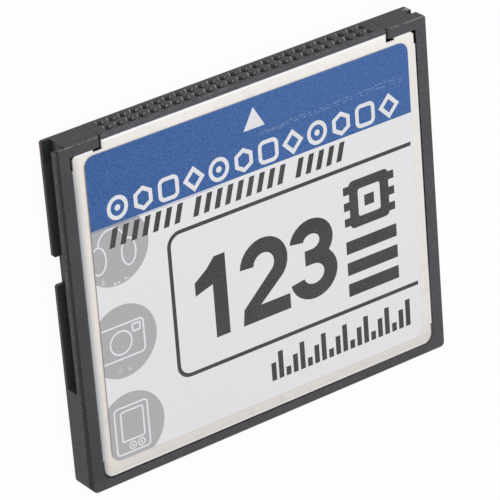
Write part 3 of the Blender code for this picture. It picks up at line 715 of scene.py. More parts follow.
class CARD_OT_front_panel(Operator):
    """Paint the front panel"""

    bl_idname = "card.front_panel"
    bl_label = "Front Panel"

    # Tab over the header: how far it reaches past the shoulders, and its inset from the header
    TAB_REACH = 0.6
    TAB_INSET = 0.85

    # Lightness of the paint: its least, and what its grain, its turned ends (painted light on the
    # upper end, painted shade on the lower), its drift from left to right at the socket end, and
    # its grime change
    LIGHTNESS = 0.950
    GRAIN = 0.10
    TURNED_DOWN_SHADE = 0.10
    TURNED_UP_LIGHT = 0.046
    SIDEWAYS = 0.09
    GRIME = 0.07

    # Warmer line beside the sticker, from the panel's left edge
    WARM_LINE = (0.85, 1.25, 0.3)
    WARM_TINT = (1.02, 1.0, 0.97)

    # Painted highlights on the rolled edges, as distances from the tab's end, the shoulders, and
    # the right and lower edges
    TAB_HIGHLIGHT = (0.20, 0.12)
    SHOULDER_HIGHLIGHT = (0.22, 0.16)
    OUTER_HIGHLIGHT = (0.24, 0.14)

    SHEET_CORE = (PANEL_TOP / MM - 0.16, 0.04)

    def execute(self, context):
        metal = context.scene.card_metal
        low, high = millimetres(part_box("front_panel"))
        finish = Finish("front_paint")
        from_left, from_right = finish.x - low.x, high.x - finish.x
        from_low, from_high = finish.y - low.y, high.y - finish.y
        peel = finish.noise(1.6, detail=2.0)
        grain = finish.noise(6.0, detail=3.0, shift=5.0)
        drift = finish.noise(0.15, detail=2.0)
        upward = finish.rise(finish.y, low.y, high.y)
        rightward = finish.rise(finish.x, low.x, high.x)

        shade = finish.contrast(drift * 0.4 + peel * 0.2 + grain * 0.4, 2.4)
        lightness = self.LIGHTNESS + self.GRAIN * shade
        lightness = lightness + self.TURNED_UP_LIGHT * finish.below(from_high, 1.6, 1.0)
        lightness = lightness - self.TURNED_DOWN_SHADE * finish.below(from_low, 1.5, 1.0)
        lightness = lightness + self.SIDEWAYS * (rightward - 0.5) * upward * upward
        grime = finish.above(finish.noise(0.8, detail=4.0, shift=3.0), 0.62, 0.2)
        # Painted light and shade: the paint lighter towards the socket end
        paint = finish.mix(metal.shaded_paint_colour, metal.paint_colour, upward)
        paint = finish.scale(paint, lightness - grime * self.GRIME)
        warm = finish.between(from_left, *self.WARM_LINE)
        paint = finish.mix(paint, finish.times(paint, self.WARM_TINT), warm)
        # Painted shade on the rolled left edge
        rolled = (1 - finish.clamp(from_left)) ** 1.7
        rolled = rolled * (1 - 0.5 * finish.below(from_high, 2.5, 2.5))
        paint = finish.mix(paint, metal.rolled_shade_colour, rolled)

        # Painted highlights along the rolled edges
        beside_tab = finish.above(abs(finish.x), HEADER_HIGH.x - self.TAB_INSET, 0.02)
        shoulder_highlight = finish.below(from_high - self.TAB_REACH, *self.SHOULDER_HIGHLIGHT) * beside_tab
        outer_highlight = finish.below(finish.least(from_right, from_low), *self.OUTER_HIGHLIGHT) * 0.5
        lip = finish.either(finish.below(from_high, *self.TAB_HIGHLIGHT), shoulder_highlight, outer_highlight)
        paint = finish.mix(paint, metal.painted_highlight_colour, lip)
        bare = finish.below(finish.z, *self.SHEET_CORE)
        finish.paint(finish.mix(paint, metal.steel_colour, bare), 0.30 + 0.12 * peel, bare)
        inset = finish.least(from_left, from_right, from_low)
        finish.bump(peel * 0.04 + finish.clamp(inset / 0.7), 0.10)
        finish.dress("front_panel")
        return {"FINISHED"}


class CARD_OT_back_panel(Operator):
    """Give the bare back panel its rolled grain and fine scratches"""

    bl_idname = "card.back_panel"
    bl_label = "Back Panel"

    ROLLED = (1.0, 0.03, 1.0)
    SCRATCHED = (0.04, 1.0, 1.0)

    def execute(self, context):
        metal = context.scene.card_metal
        finish = Finish("rolled_steel")
        grain = finish.noise(14.0, detail=4.0, stretch=self.ROLLED)
        cloud = finish.noise(0.12, detail=3.0, shift=2.0)
        scratch = finish.noise(9.0, detail=1.0, stretch=self.SCRATCHED, shift=7.0)
        scratch = finish.above(scratch, 0.72, 0.04)
        tone = finish.clamp(grain * 0.6 + cloud * 0.4)
        steel = finish.shades(metal.steel_colour, 0.86, 1.10, tone)
        finish.paint(steel, 0.24 + 0.16 * grain + 0.10 * cloud + 0.1 * scratch, 1.0)
        finish.bump(grain - 0.8 * scratch, 0.004)
        finish.dress("back_panel")
        return {"FINISHED"}


def label_edges(turn):
    """Left, lower, right and upper edge of the sticker in its own axes, read from its solid."""
    back = Matrix.Rotation(-turn, 3, "Z")
    corners = [back @ vertex.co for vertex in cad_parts["front_label"].data.vertices]
    across = [corner.x for corner in corners]
    along = [corner.y for corner in corners]
    return min(across), min(along), max(across), max(along)


def disc_places(sticker):
    """Middles of the three discs, in the sticker's axes."""
    left = label_edges(sticker.turn)[0]
    return [Vector((left + sticker.disc_inset, height)) for height in sticker.disc_heights]


class CARD_OT_sticker(Operator):
    """Give the sticker its film, its fields of colour and its wear"""

    bl_idname = "card.sticker"
    bl_label = "Sticker"

    # How sharp the fields of colour are
    PRINT_SOFTNESS = 0.035

    # Thin line of the band's ink that runs out under it on the left: its edges from the band's
    OVERPRINT = (-0.17, -0.07, PRINT_SOFTNESS)
    OVERPRINT_END = (-4.0, 4.0)

    # Wandering scratch across the band: heights with how far each swings, width, and its ends
    SCRATCHES = ((12.75, 1.6), (12.45, 0.9))
    SCRATCH_WIDTH = (0.05, 0.08)
    SCRATCH_ENDS = (1.0, 18.2, 1.0)

    # Scuffs in the discs: middle, half sizes and strength
    SCUFFS = (
        (-16.70, 2.72, 0.22, 0.12, 0.95),
        (-16.32, 2.74, 0.16, 0.12, 0.90),
        (-15.45, 2.92, 0.28, 0.09, 0.95),
        (-18.02, 3.30, 0.26, 0.40, 0.35),
        (-17.02, -6.45, 0.26, 0.24, 0.22),
        (-16.02, -6.62, 0.24, 0.22, 0.32),
    )

    # Nick in the left edge: its height and reach
    NICK_HEIGHT = 12.65
    NICK_REACH = 0.24

    # Cut edges that show, as distances from the upper and left edges and down from the top
    UPPER_CUT = (0.06, 0.06)
    LEFT_CUT = (0.07, 0.06)
    SIDE_CUT = (LABEL_TOP / MM - 0.012, 0.01)

    def execute(self, context):
        sticker = context.scene.card_sticker
        left, low, right, high = (edge / MM for edge in label_edges(sticker.turn))
        finish = Finish("sticker_film")
        cosine, sine = math.cos(sticker.turn), math.sin(sticker.turn)
        across = finish.x * cosine + finish.y * sine
        along = finish.y * cosine - finish.x * sine
        rightward = finish.rise(across, left, right)
        upward = finish.rise(along, low, high)

        fibre = finish.noise(5.0, detail=3.0)
        drift = finish.noise(0.08, detail=2.0, shift=4.0)
        # Painted light: the film lighter towards the upper right
        tone = 0.25 * rightward + 0.75 * upward
        film = finish.shades(sticker.film_colour, 0.945, 1.065,
                             tone * 0.5 + 0.2 * drift + 0.3 * fibre)

        disc = 0.0
        for x, y in disc_places(sticker):
            reach = finish.length(across - x / MM, along - y / MM)
            field = finish.below(reach, sticker.disc_radius / MM, self.PRINT_SOFTNESS)
            disc = finish.either(field, disc)
        toner = finish.contrast(finish.noise(7.0, detail=3.0, shift=9.0), 3.3)
        film = finish.mix(film, finish.shades(sticker.disc_colour, 0.93, 1.07, toner), disc)

        over_edge = along - sticker.band_edge / MM
        band = finish.above(over_edge, 0.0, self.PRINT_SOFTNESS)
        mottle = finish.contrast(finish.noise(6.0, detail=5.0, shift=1.0), 3.2)
        tint = finish.clamp(mottle - 0.14 + 0.25 * finish.clamp(rightward * 1.6))
        ink = finish.mix(sticker.band_colour, sticker.band_light, tint)
        overprint = finish.between(over_edge, *self.OVERPRINT)
        overprint = overprint * finish.below(across, *self.OVERPRINT_END) * 0.5
        film = finish.mix(film, ink, finish.either(band, overprint))

        wander = finish.noise(0.16, detail=4.0, stretch=(1.0, 0.0, 0.0), shift=6.0)
        scratch = 0.0
        for height, swing in self.SCRATCHES:
            line = abs(along - height - (wander - 0.5) * swing)
            scratch = finish.either(finish.below(line, *self.SCRATCH_WIDTH), scratch)
        broken = finish.above(finish.noise(3.2, detail=5.0, shift=8.0), 0.50, 0.08)
        scratch = scratch * finish.between(across, *self.SCRATCH_ENDS) * broken
        specks = finish.specks(0.9, 0.07, 0.12, shift=2.0) * disc * (1 - band)
        flaws = finish.either(scratch * 0.22, specks * 0.45)
        ragged = (finish.noise(5.0, detail=3.0, shift=3.0) - 0.5) * 2.2
        for x, y, half_width, half_height, strong in self.SCUFFS:
            spot = finish.length((across - x) / half_width, (along - y) / half_height)
            flaws = finish.either(finish.below(spot + ragged, 0.9, 0.25) * strong, flaws)
        film = finish.mix(film, sticker.film_colour, flaws)

        nick = finish.near(self.NICK_REACH, across - left, (along - self.NICK_HEIGHT) * 0.6)
        film = finish.mix(film, sticker.band_colour, finish.above(nick, 0.3, 0.2))
        upper_cut = finish.below(high - along, *self.UPPER_CUT)
        left_cut = finish.below(across - left, *self.LEFT_CUT)
        side_cut = finish.below(finish.z, *self.SIDE_CUT)
        cut_shade = finish.mix(sticker.cut_colour, sticker.top_colour, upper_cut)
        cut = finish.either(left_cut * 0.55, upper_cut * 0.25, side_cut)
        finish.paint(finish.mix(film, cut_shade, cut), 0.40 + 0.10 * fibre + 0.10 * drift)
        finish.bump(fibre + 0.5 * finish.noise(0.5, detail=2.0), 0.002)
        finish.dress("front_label")
        return {"FINISHED"}


class CARD_OT_contacts(Operator):
    """Plate the fifty socket contacts"""

    bl_idname = "card.contacts"
    bl_label = "Socket Contacts"

    DRAWN = (1.0, 0.05, 1.0)

    def execute(self, context):
        metal = context.scene.card_metal
        finish = Finish("contact_plating")
        haze = finish.noise(3.0, detail=3.0)
        drawn = finish.noise(20.0, detail=2.0, stretch=self.DRAWN, shift=2.0)
        tail = finish.below(finish.y, HEADER_LOW.y + 0.1, 0.2)
        tone = finish.clamp(haze * 0.6 + drawn * 0.4)
        plating = finish.shades(metal.gold_colour, 0.82, 1.10, tone)
        plating = finish.mix(plating, metal.tin_colour, tail)
        finish.paint(plating, 0.20 + 0.18 * haze + 0.08 * drawn, 1.0)
        finish.bump(drawn, 0.002)
        finish.dress(*(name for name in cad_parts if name.startswith("contact_")))
        return {"FINISHED"}


class CARD_OT_board(Operator):
    """Give the circuit board its mask, tracks and soldered passives"""

    bl_idname = "card.board"
    bl_label = "Circuit Board"

    # Half the spacing of the tracks and of the contacts' pads, and how far the tracks wander
    TRACK_SPACING = 0.3
    PAD_SPACING = 0.635
    WANDER = 6.0

    # Heights and places on the board: the passives' height, their row and the row of pads, both
    # from the socket end, and the half length of a passive's plain middle
    PART_HEIGHT = 0.4
    PART_ROW = 3.8
    PAD_ROW = 1.9
    PART_MIDDLE = (0.28, 0.03)

    def execute(self, context):
        inside = context.scene.card_inside
        low, high = millimetres(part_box("circuit_board"))
        finish = Finish("board_mask")
        lanes = []
        for place, per_mm, shift in ((finish.x, 0.25, 0.0), (finish.y, 0.2, 3.0)):
            bent = place + finish.noise(per_mm, detail=0.0, shift=shift) * self.WANDER
            lanes.append(finish.maths("PINGPONG", bent, self.TRACK_SPACING))
        turned = finish.above(finish.noise(0.18, detail=0.0, shift=5.0), 0.5, 0.02)
        track = finish.above(lanes[0] * turned + lanes[1] * (1 - turned), 0.17, 0.05)
        mask = finish.mix(inside.mask_colour, inside.track_colour, track)
        part = finish.above(finish.z, high.z - self.PART_HEIGHT + 0.03, 0.02)
        tinned_end = finish.above(abs(finish.y - (high.y - self.PART_ROW)), *self.PART_MIDDLE)
        pad = finish.above(finish.y, high.y - self.PAD_ROW, 0.05)
        pad = pad * finish.above(finish.maths("PINGPONG", finish.x, self.PAD_SPACING), 0.36, 0.03)
        metal = finish.either(part * tinned_end, pad * (1 - part))
        body = finish.mix(mask, inside.passive_colour, part)
        body = finish.mix(body, context.scene.card_metal.tin_colour, metal)
        finish.paint(body, 0.34 + 0.15 * finish.noise(4.0, detail=2.0), metal)
        finish.bump(track, 0.02)
        finish.dress("circuit_board")
        return {"FINISHED"}


class CARD_OT_chips(Operator):
    """Give the two chips their moulding, pin marks and tinned leads"""

    bl_idname = "card.chips"
    bl_label = "Chips"

    # Whether each chip has leads on all four sides, or at its two ends
    CHIPS = (("controller_chip", True), ("memory_chip", False))
    LEAD_REACH = 0.8
    LEAD_START = (0.01, 0.02)
    MARK_INSET = 1.0
    MARK_RADIUS = (0.42, 0.06)

    def execute(self, context):
        inside = context.scene.card_inside
        for name, on_all_sides in self.CHIPS:
            low, high = millimetres(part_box(name))
            finish = Finish(name + "_moulding")
            grain = finish.noise(9.0, detail=3.0)
            middle, half = (low + high) / 2, (high - low) / 2
            half.x -= self.LEAD_REACH
            half.y -= self.LEAD_REACH if on_all_sides else 0.0
            across, along = finish.x - middle.x, finish.y - middle.y
            lead = finish.above(abs(across) - half.x, *self.LEAD_START)
            if on_all_sides:
                lead = finish.either(lead, finish.above(abs(along) - half.y, *self.LEAD_START))
            mark_x, mark_y = self.MARK_INSET - half.x, half.y - self.MARK_INSET
            from_mark = finish.length(across - mark_x, along - mark_y)
            dimple = finish.below(from_mark, *self.MARK_RADIUS)
            body = finish.shades(inside.package_colour, 0.8, 1.4, grain)
            body = finish.mix(body, inside.package_colour * 1.8, dimple)
            rough = finish.clamp(0.55 - 0.25 * lead - 0.25 * dimple + 0.1 * grain)
            finish.paint(finish.mix(body, context.scene.card_metal.tin_colour, lead), rough, lead)
            finish.bump(grain - 3 * dimple, 0.010)
            finish.dress(name)
        return {"FINISHED"}


class CARD_OT_components(Operator):
    """Give the crystal can and the large capacitor their finishes"""

    bl_idname = "card.components"
    bl_label = "Crystal and Capacitor"

    BRUSHED = (0.05, 1.0, 1.0)
    CAN_STEP = (0.35, 0.08)
    STRIPE = (0.7, 0.05)
    TINNED_FOOT = (0.25, 0.03)

    def execute(self, context):
        metal = context.scene.card_metal
        inside = context.scene.card_inside
        can = Finish("crystal_can")
        low, high = millimetres(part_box("crystal"))
        brushed = can.noise(12.0, detail=3.0, stretch=self.BRUSHED)
        inset = can.least(can.x - low.x, high.x - can.x, can.y - low.y, high.y - can.y)
        can.paint(can.shades(metal.tin_colour, 0.85, 1.08, brushed), 0.22 + 0.15 * brushed, 1.0)
        can.bump(brushed * 0.2 + can.above(inset, *self.CAN_STEP), 0.03)
        can.dress("crystal")

        body = Finish("capacitor_moulding")
        low, high = millimetres(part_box("capacitor"))
        grain = body.noise(6.0, detail=3.0)
        stripe = body.below(body.x - low.x, *self.STRIPE)
        tinned = body.below(body.z - low.z, *self.TINNED_FOOT)
        shell = body.shades(inside.capacitor_colour, 0.85, 1.15, grain)
        shell = body.mix(shell, inside.capacitor_colour * 0.3, stripe)
        body.paint(body.mix(shell, metal.tin_colour, tinned), 0.42 + 0.12 * grain, tinned)
        body.bump(grain, 0.006)
        body.dress("capacitor")
        return {"FINISHED"}


def arc(centre, half_width, half_height, start, end, steps):
    """Points along an arc of an ellipse, between two angles in degrees."""
    points = []
    for step in range(steps + 1):
        turn = math.radians(start + (end - start) * step / steps)
        points.append((centre[0] + half_width * math.cos(turn),
                       centre[1] + half_height * math.sin(turn)))
    return points


def regular_outline(middle, half_width, half_height, corners, turn=0.0):
    """Corners of a regular figure, stretched to a width and a height."""
    return arc(middle, half_width, half_height, turn, turn + 360, corners)[:-1]


def ellipse(centre, half_width, half_height):
    """Outline of an ellipse."""
    return regular_outline(centre, half_width, half_height, ROUND_STEPS)


def rounded_box(left, low, right, high, radius):
    """Outline of a rectangle with round corners."""
    corners = (
        (right - radius, low + radius, -90),
        (right - radius, high - radius, 0),
        (left + radius, high - radius, 90),
        (left + radius, low + radius, 180),
    )
    outline = []
    for x, y, start in corners:
        outline += arc((x, y), radius, radius, start, start + 90, CORNER_STEPS)
    return outline


def stroke_sides(path, width, closed):
    """The two sides of a line of even width along a path, mitred at its corners."""
    points = [Vector(point) for point in path]
    sides = ([], [])
    count = len(points)
    for index, point in enumerate(points):
        runs = []
        if closed or index > 0:
            runs.append(point - points[index - 1])
        if closed or index < count - 1:
            runs.append(points[(index + 1) % count] - point)
        normals = [Vector((-run.y, run.x)).normalized() for run in runs]
        mitre = sum(normals, Vector((0.0, 0.0))).normalized()
        reach = width / 2 / mitre.dot(normals[0])
        sides[0].append(point + mitre * reach)
        sides[1].append(point - mitre * reach)
    return sides


class Ink:
    """Films of one ink under construction, in the sticker's own axes."""

    def __init__(self, kind):
        self.kind = kind
        self.thickness, self.uneven, self.seed = INKS[kind]
        self.mesh = bmesh.new()

    def level(self, outline, height):
        """One ring of corners at a height above the sticker."""
        return [self.mesh.verts.new((x, y, LABEL_TOP + height)) for x, y in outline]

    def wall(self, low, high, closed=True):
        """Faces between two rings of corners."""
        for index in range(len(low) if closed else len(low) - 1):
            after = (index + 1) % len(low)
            self.mesh.faces.new((low[index], low[after], high[after], high[index]))

    def fill(self, outline):
        """Closed film inside an outline."""
        under = self.level(outline, -INK_SINK)
        top = self.level(outline, self.thickness)
        self.mesh.faces.new(under)
        self.mesh.faces.new(top)
        self.wall(under, top)

    def band(self, outer, inner, closed=True):
        """Closed film between two outlines with as many corners each."""
        under, inner_under = self.level(outer, -INK_SINK), self.level(inner, -INK_SINK)
        top, inner_top = self.level(outer, self.thickness), self.level(inner, self.thickness)
        for low, high in ((under, inner_under), (top, inner_top), (under, top),
                          (inner_under, inner_top)):
            self.wall(low, high, closed)
        if not closed:
            for end in (0, -1):
                self.mesh.faces.new((under[end], top[end], inner_top[end], inner_under[end]))

    def stroke(self, path, width, closed=False):
        """Closed film along a path."""
        self.band(*stroke_sides(path, width, closed), closed)

    def box(self, left, low, right, high):
        """Closed rectangular film."""
        self.fill([(left, low), (right, low), (right, high), (left, high)])

    def material(self, scene):
        """The ink's own material: slightly uneven, with pinholes that show the film."""
        known = bpy.data.materials.get(self.kind)
        if known:
            return known
        finish = Finish(self.kind)
        grain = finish.noise(7.0, detail=4.0, shift=self.seed)
        drift = finish.noise(0.18, detail=2.0, shift=self.seed)
        toner = finish.contrast(grain * 0.77 + drift * 0.23, 5.7)
        base = getattr(scene.card_print, self.kind)
        ink = finish.shades(base, 1 - self.uneven, 1 + self.uneven, toner)
        holes = finish.specks(0.8, 0.06, 0.10, shift=self.seed) * 0.45
        finish.paint(finish.mix(ink, scene.card_sticker.film_colour, holes), 0.42 + 0.10 * toner)
        return finish.material

    def finish(self, name, scene):
        """Turn the films into one piece on the card."""
        turn = Matrix.Rotation(scene.card_sticker.turn, 3, "Z")
        bmesh.ops.recalc_face_normals(self.mesh, faces=self.mesh.faces)
        bmesh.ops.rotate(self.mesh, verts=self.mesh.verts, matrix=turn)
        data = bpy.data.meshes.new(name)
        self.mesh.to_mesh(data)
        self.mesh.free()
        data.materials.append(self.material(scene))
        piece = bpy.data.objects.new(name, data)
        scene.collection.objects.link(piece)
        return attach(piece, BODY)


class CARD_OT_arrow(Operator):
    """Print the insertion arrow"""

    bl_idname = "card.arrow"
    bl_label = "Insertion Arrow"

    def execute(self, context):
        left, low, right, high = context.scene.card_print.arrow_zone
        ink = Ink("light_ink")
        ink.fill([(left, low), (right, low), ((left + right) / 2, high)])
        ink.finish("print_arrow", context.scene)
        return {"FINISHED"}


class CARD_OT_title(Operator):
    """Print the row of open figures in the band"""

    bl_idname = "card.title"
    bl_label = "Title Row"

    # How many figures, and the share of their pitch that each one takes
    COUNT = 12
    FIGURE_SHARE = 0.82

    # Target's dot and cushion's corners, as shares of the line's width
    DOT_RADIUS = 0.75
    CUSHION_CORNER = 1.2

    def execute(self, context):
        layout = context.scene.card_print
        left, low, right, high = layout.title_zone
        stroke = layout.title_stroke
        pitch = (right - left) / (self.COUNT - 1 + self.FIGURE_SHARE)
        half_width = pitch * self.FIGURE_SHARE / 2
        across, up = half_width - stroke / 2, (high - low) / 2 - stroke / 2
        corner, dot = stroke * self.CUSHION_CORNER, stroke * self.DOT_RADIUS
        ink = Ink("light_ink")
        for number in range(self.COUNT):
            x, y = middle = left + number * pitch + half_width, (low + high) / 2
            target = ellipse(middle, across, up)
            hexagon = regular_outline(middle, across, up, 6, 30)
            cushion = rounded_box(x - across, y - up, x + across, y + up, corner)
            diamond = regular_outline(middle, across, up, 4)
            outline = (target, hexagon, cushion, diamond)[number % 4]
            ink.stroke(outline, stroke, closed=True)
            if outline is target:
                ink.fill(ellipse(middle, dot, dot))
        ink.finish("print_title", context.scene)
        return {"FINISHED"}


class CARD_OT_bold_row(Operator):
    """Print the row of slanted bars under the band"""

    bl_idname = "card.bold_row"
    bl_label = "Bold Row"

    # Bars in each group, and the gap between groups in pitches
    GROUPS = (7, 9, 5)
    GAP = 0.75

    def execute(self, context):
        layout = context.scene.card_print
        left, low, right, high = layout.bold_zone
        slant, stroke = layout.bold_slant, layout.bold_stroke
        places = sum(self.GROUPS) - 1 + self.GAP * (len(self.GROUPS) - 1)
        pitch = (right - left - slant - stroke) / places
        ink = Ink("dark_ink")
        start = left
        for count in self.GROUPS:
            for _ in range(count):
                ink.fill([(start, low), (start + stroke, low), (start + stroke + slant, high),
                          (start + slant, high)])
                start += pitch
            start += self.GAP * pitch
        ink.finish("print_bold_row", context.scene)
        return {"FINISHED"}


class CARD_OT_outline(Operator):
    """Print the open outline round the large numerals"""

    bl_idname = "card.outline"
    bl_label = "Open Outline"

    def execute(self, context):
        layout = context.scene.card_print
        left, low, right, high = layout.frame_zone
        radius = layout.frame_corner
        path = [(right, high)]
        path += arc((left + radius, high - radius), radius, radius, 90, 180, CORNER_STEPS)
        path += arc((left + radius, low + radius), radius, radius, 180, 270, CORNER_STEPS)
        path += [(right, low)]
        ink = Ink("dark_ink")
        ink.stroke(path, layout.frame_stroke)
        ink.finish("print_outline", context.scene)
        return {"FINISHED"}


class CARD_OT_numerals(Operator):
    """Print the large plain numerals"""

    bl_idname = "card.numerals"
    bl_label = "Large Numerals"

    # Share of the row that a numeral takes, share of that for the 1, and how far the 1 and the 2
    # stand off their places
    NUMERAL_SHARE = 0.335
    ONE_SHARE = 0.68
    NUDGE = 0.2 * MM

    def execute(self, context):
        layout = context.scene.card_print
        left, low, right, high = layout.numeral_zone
        stroke = layout.numeral_stroke
        width = (right - left) * self.NUMERAL_SHARE
        middle = (left + right) / 2 - self.NUDGE
        ink = Ink("dark_ink")
        for numeral, start, end in (
                (self.one, left + self.NUDGE, left + width * self.ONE_SHARE),
                (self.two, middle - width / 2, middle + width / 2),
                (self.three, right - width, right)):
            ink.fill(numeral(start, low, end, high, stroke))
        ink.finish("print_numerals", context.scene)
        return {"FINISHED"}

    def one(self, left, low, right, high, stroke):
        """Outline of a plain bold 1: a stem and a flag."""
        stem = right - stroke
        height = high - low
        flag_top = high - height * 0.26 * 0.93
        return [
            (stem, low), (right, low), (right, high), (stem + stroke * 0.22, high),
            (stem - stroke * 0.35, high - height * 0.19 * 0.62), (left, flag_top),
            (left, flag_top - stroke * 0.86), (stem, high - height * 0.26 - stroke * 0.38),
        ]

    def two(self, left, low, right, high, stroke):
        """Outline of a plain bold 2: a bowl and a foot."""
        radius = (right - left) / 2
        middle = ((left + right) / 2, high - radius)
        outline = arc(middle, radius, radius, 176, -38, 2 * CORNER_STEPS)
        outline += [(left + stroke * 1.35, low + stroke), (right, low + stroke), (right, low),
                    (left, low), (left + stroke * 0.12, low + stroke * 1.05)]
        return outline + arc(middle, radius - stroke, radius - stroke, -42, 176, 2 * CORNER_STEPS)

    def three(self, left, low, right, high, stroke):
        """Outline of a plain bold 3: a smaller bowl over a larger one."""
        half_width = (right - left) / 2
        waist = (low + high) / 2 + stroke * 0.15
        upper_size = (half_width * 0.92, (high - waist + stroke / 2) / 2)
        lower_size = (half_width, (waist + stroke / 2 - low) / 2)
        upper = ((left + right) / 2 - half_width * 0.04, high - upper_size[1])
        lower = ((left + right) / 2, low + lower_size[1])
        notch = lower[0] - half_width * 0.34
        outline = arc(upper, *upper_size, 170, -38, 2 * CORNER_STEPS)
        outline += arc(lower, *lower_size, 44, -170, 2 * CORNER_STEPS)
        outline += arc(lower, *(reach - stroke for reach in lower_size), -168, 90, 2 * CORNER_STEPS)
        outline += [(notch, waist - stroke / 2), (notch, waist + stroke / 2)]
        return outline + arc(upper, *(reach - stroke for reach in upper_size), -90, 168,
                             2 * CORNER_STEPS)


class CARD_OT_chip_figure(Operator):
    """Print the bold chip figure at the right"""

    bl_idname = "card.chip_figure"
    bl_label = "Chip Figure"

    # Legs on each side, their length as a share of the figure's width and half their width as a
    # share of their pitch; the body's line as a share of its height, and half the core in lines
    LEGS = 3
    LEG_LENGTH = 0.11
    LEG_HALF_WIDTH = 0.26
    BODY_STROKE = 0.21
    CORE_HALF = 0.55

    def execute(self, context):
        left, low, right, high = context.scene.card_print.chip_zone
        leg = (right - left) * self.LEG_LENGTH
        stroke = (high - low) * self.BODY_STROKE
        body_left, body_right = left + leg, right - leg
        ink = Ink("dark_ink")
        ink.band(rounded_box(body_left, low, body_right, high, stroke / 2),
                 rounded_box(body_left + stroke, low + stroke, body_right - stroke, high - stroke,
                             stroke / 4))
        middle_x, middle_y = (left + right) / 2, (low + high) / 2
        core = stroke * self.CORE_HALF
        ink.box(middle_x - core, middle_y - core, middle_x + core, middle_y + core)
        pitch = (high - low) / self.LEGS
        half = pitch * self.LEG_HALF_WIDTH
        for number in range(self.LEGS):
            height = low + pitch * (number + 0.5)
            ink.box(left, height - half, body_left, height + half)
            ink.box(body_right, height - half, right, height + half)
        ink.finish("print_chip_figure", context.scene)
        return {"FINISHED"}


class CARD_OT_bars(Operator):
    """Print the bold bars at the right"""

    bl_idname = "card.bars"
    bl_label = "Bold Bars"

    # How many bars, and the share of their pitch that each one takes
    COUNT = 3
    BAR_SHARE = 0.6

    def execute(self, context):
        left, low, right, high = context.scene.card_print.bars_zone
        pitch = (high - low) / (self.COUNT - 1 + self.BAR_SHARE)
        ink = Ink("dark_ink")
        for number in range(self.COUNT):
            start = low + number * pitch
            ink.box(left, start, right, start + pitch * self.BAR_SHARE)
        ink.finish("print_bars", context.scene)
        return {"FINISHED"}


class CARD_OT_level_row(Operator):
    """Print the row of upright bars under the outline"""

    bl_idname = "card.level_row"
    bl_label = "Level Row"

    # How many bars, their middle height, how far they swing about it and how fast, and the least
    COUNT = 20
    MIDDLE = 0.62
    SWING = 0.38
    STEP = 2.1
    LEAST = 0.3

    def execute(self, context):
        layout = context.scene.card_print
        left, low, right, high = layout.level_zone
        stroke = layout.level_stroke
        pitch = (right - left - stroke) / (self.COUNT - 1)
        ink = Ink("dark_ink")
        for number in range(self.COUNT):
            start = left + number * pitch
            rise = max(self.MIDDLE + self.SWING * math.sin(number * self.STEP), self.LEAST)
            ink.box(start, low, start + stroke, low + (high - low) * rise)
        ink.finish("print_level_row", context.scene)
        return {"FINISHED"}


class CARD_OT_icons(Operator):
    """Print the line figures on the three discs: headphones, a camera and a hand-held player"""

    bl_idname = "card.icons"
    bl_label = "Disc Figures"

    # Parts of the figures, in millimetres from the middle of the disc whose number comes first.
    # A ring is its middle, its half sizes and its share of the line's width.
    RINGS = (
        (0, 1.52, -0.72, 0.79, 1.40, 1.0),
        (1, -0.26, -0.08, 1.22, 1.22, 1.0),
        (2, 0.0, -1.88, 0.37, 0.37, 0.75),
        (2, 1.0, -1.88, 0.37, 0.37, 0.75),
    )
    # A box is its left, lower, right and upper edge and its corners' radius.
    BOXES = (
        (1, 1.14, 0.67, 1.99, 1.42, 0.1),
        (2, -1.80, -2.53, 2.00, 2.47, 0.38),
        (2, -1.10, -1.23, 1.45, 1.97, 0.22),
    )
    # A dot is its middle and radius.
    DOTS = ((2, 0.0, -1.88, 0.13), (2, 1.0, -1.88, 0.13))

    # Left ear cup and headband: middle and half sizes
    CUP = (-1.88, -0.70, 0.83, 1.40)
    HEADBAND = (-0.33, 0.72, 1.47, 1.46)

    # Camera's body: lower, right and upper edge and its corners' radius
    CAMERA = (-1.78, 2.39, 1.77, 0.45)

    def execute(self, context):
        sticker = context.scene.card_sticker
        stroke = context.scene.card_print.icon_stroke
        edge = stroke / 2 - sticker.disc_inset
        places = disc_places(sticker)
        ink = Ink("light_ink")
        for disc, x, y, half_width, half_height, line_share in self.RINGS:
            ring = ellipse(places[disc] + Vector((x, y)) * MM, half_width * MM, half_height * MM)
            ink.stroke(ring, stroke * line_share, closed=True)
        for disc, left, low, right, high, radius in self.BOXES:
            x, y = places[disc]
            outline = rounded_box(x + left * MM, y + low * MM, x + right * MM, y + high * MM,
                                  radius * MM)
            ink.stroke(outline, stroke, closed=True)
        for disc, x, y, radius in self.DOTS:
            ink.fill(ellipse(places[disc] + Vector((x, y)) * MM, radius * MM, radius * MM))
        self.headphones(ink, places[0], stroke, edge)
        self.camera(ink, places[1], stroke, edge)
        ink.finish("print_icons", context.scene)
        return {"FINISHED"}

    def headphones(self, ink, middle, stroke, edge):
        """Headband, and the left ear cup cut off by the sticker's edge."""
        x, y, half_width, half_height = (part * MM for part in self.CUP)
        cut = math.degrees(math.acos((edge - x) / half_width))
        cup = (middle[0] + x, middle[1] + y)
        ink.stroke(arc(cup, half_width, half_height, -cut, cut, ROUND_STEPS), stroke)
        x, y, half_width, half_height = (part * MM for part in self.HEADBAND)
        band = (middle[0] + x, middle[1] + y)
        ink.stroke(arc(band, half_width, half_height, 178, 4, ROUND_STEPS // 2), stroke)

    def camera(self, ink, middle, stroke, edge):
        """Camera's body, which runs off the sticker's edge."""
        low, right, high, corner = (part * MM for part in self.CAMERA)
        left, right = middle[0] + edge, middle[0] + right
        low, high = middle[1] + low, middle[1] + high
        path = [(left, high)]
        path += arc((right - corner, high - corner), corner, corner, 90, 0, CORNER_STEPS)
        path += arc((right - corner, low + corner), corner, corner, 0, -90, CORNER_STEPS)
        ink.stroke(path + [(left, low)], stroke)


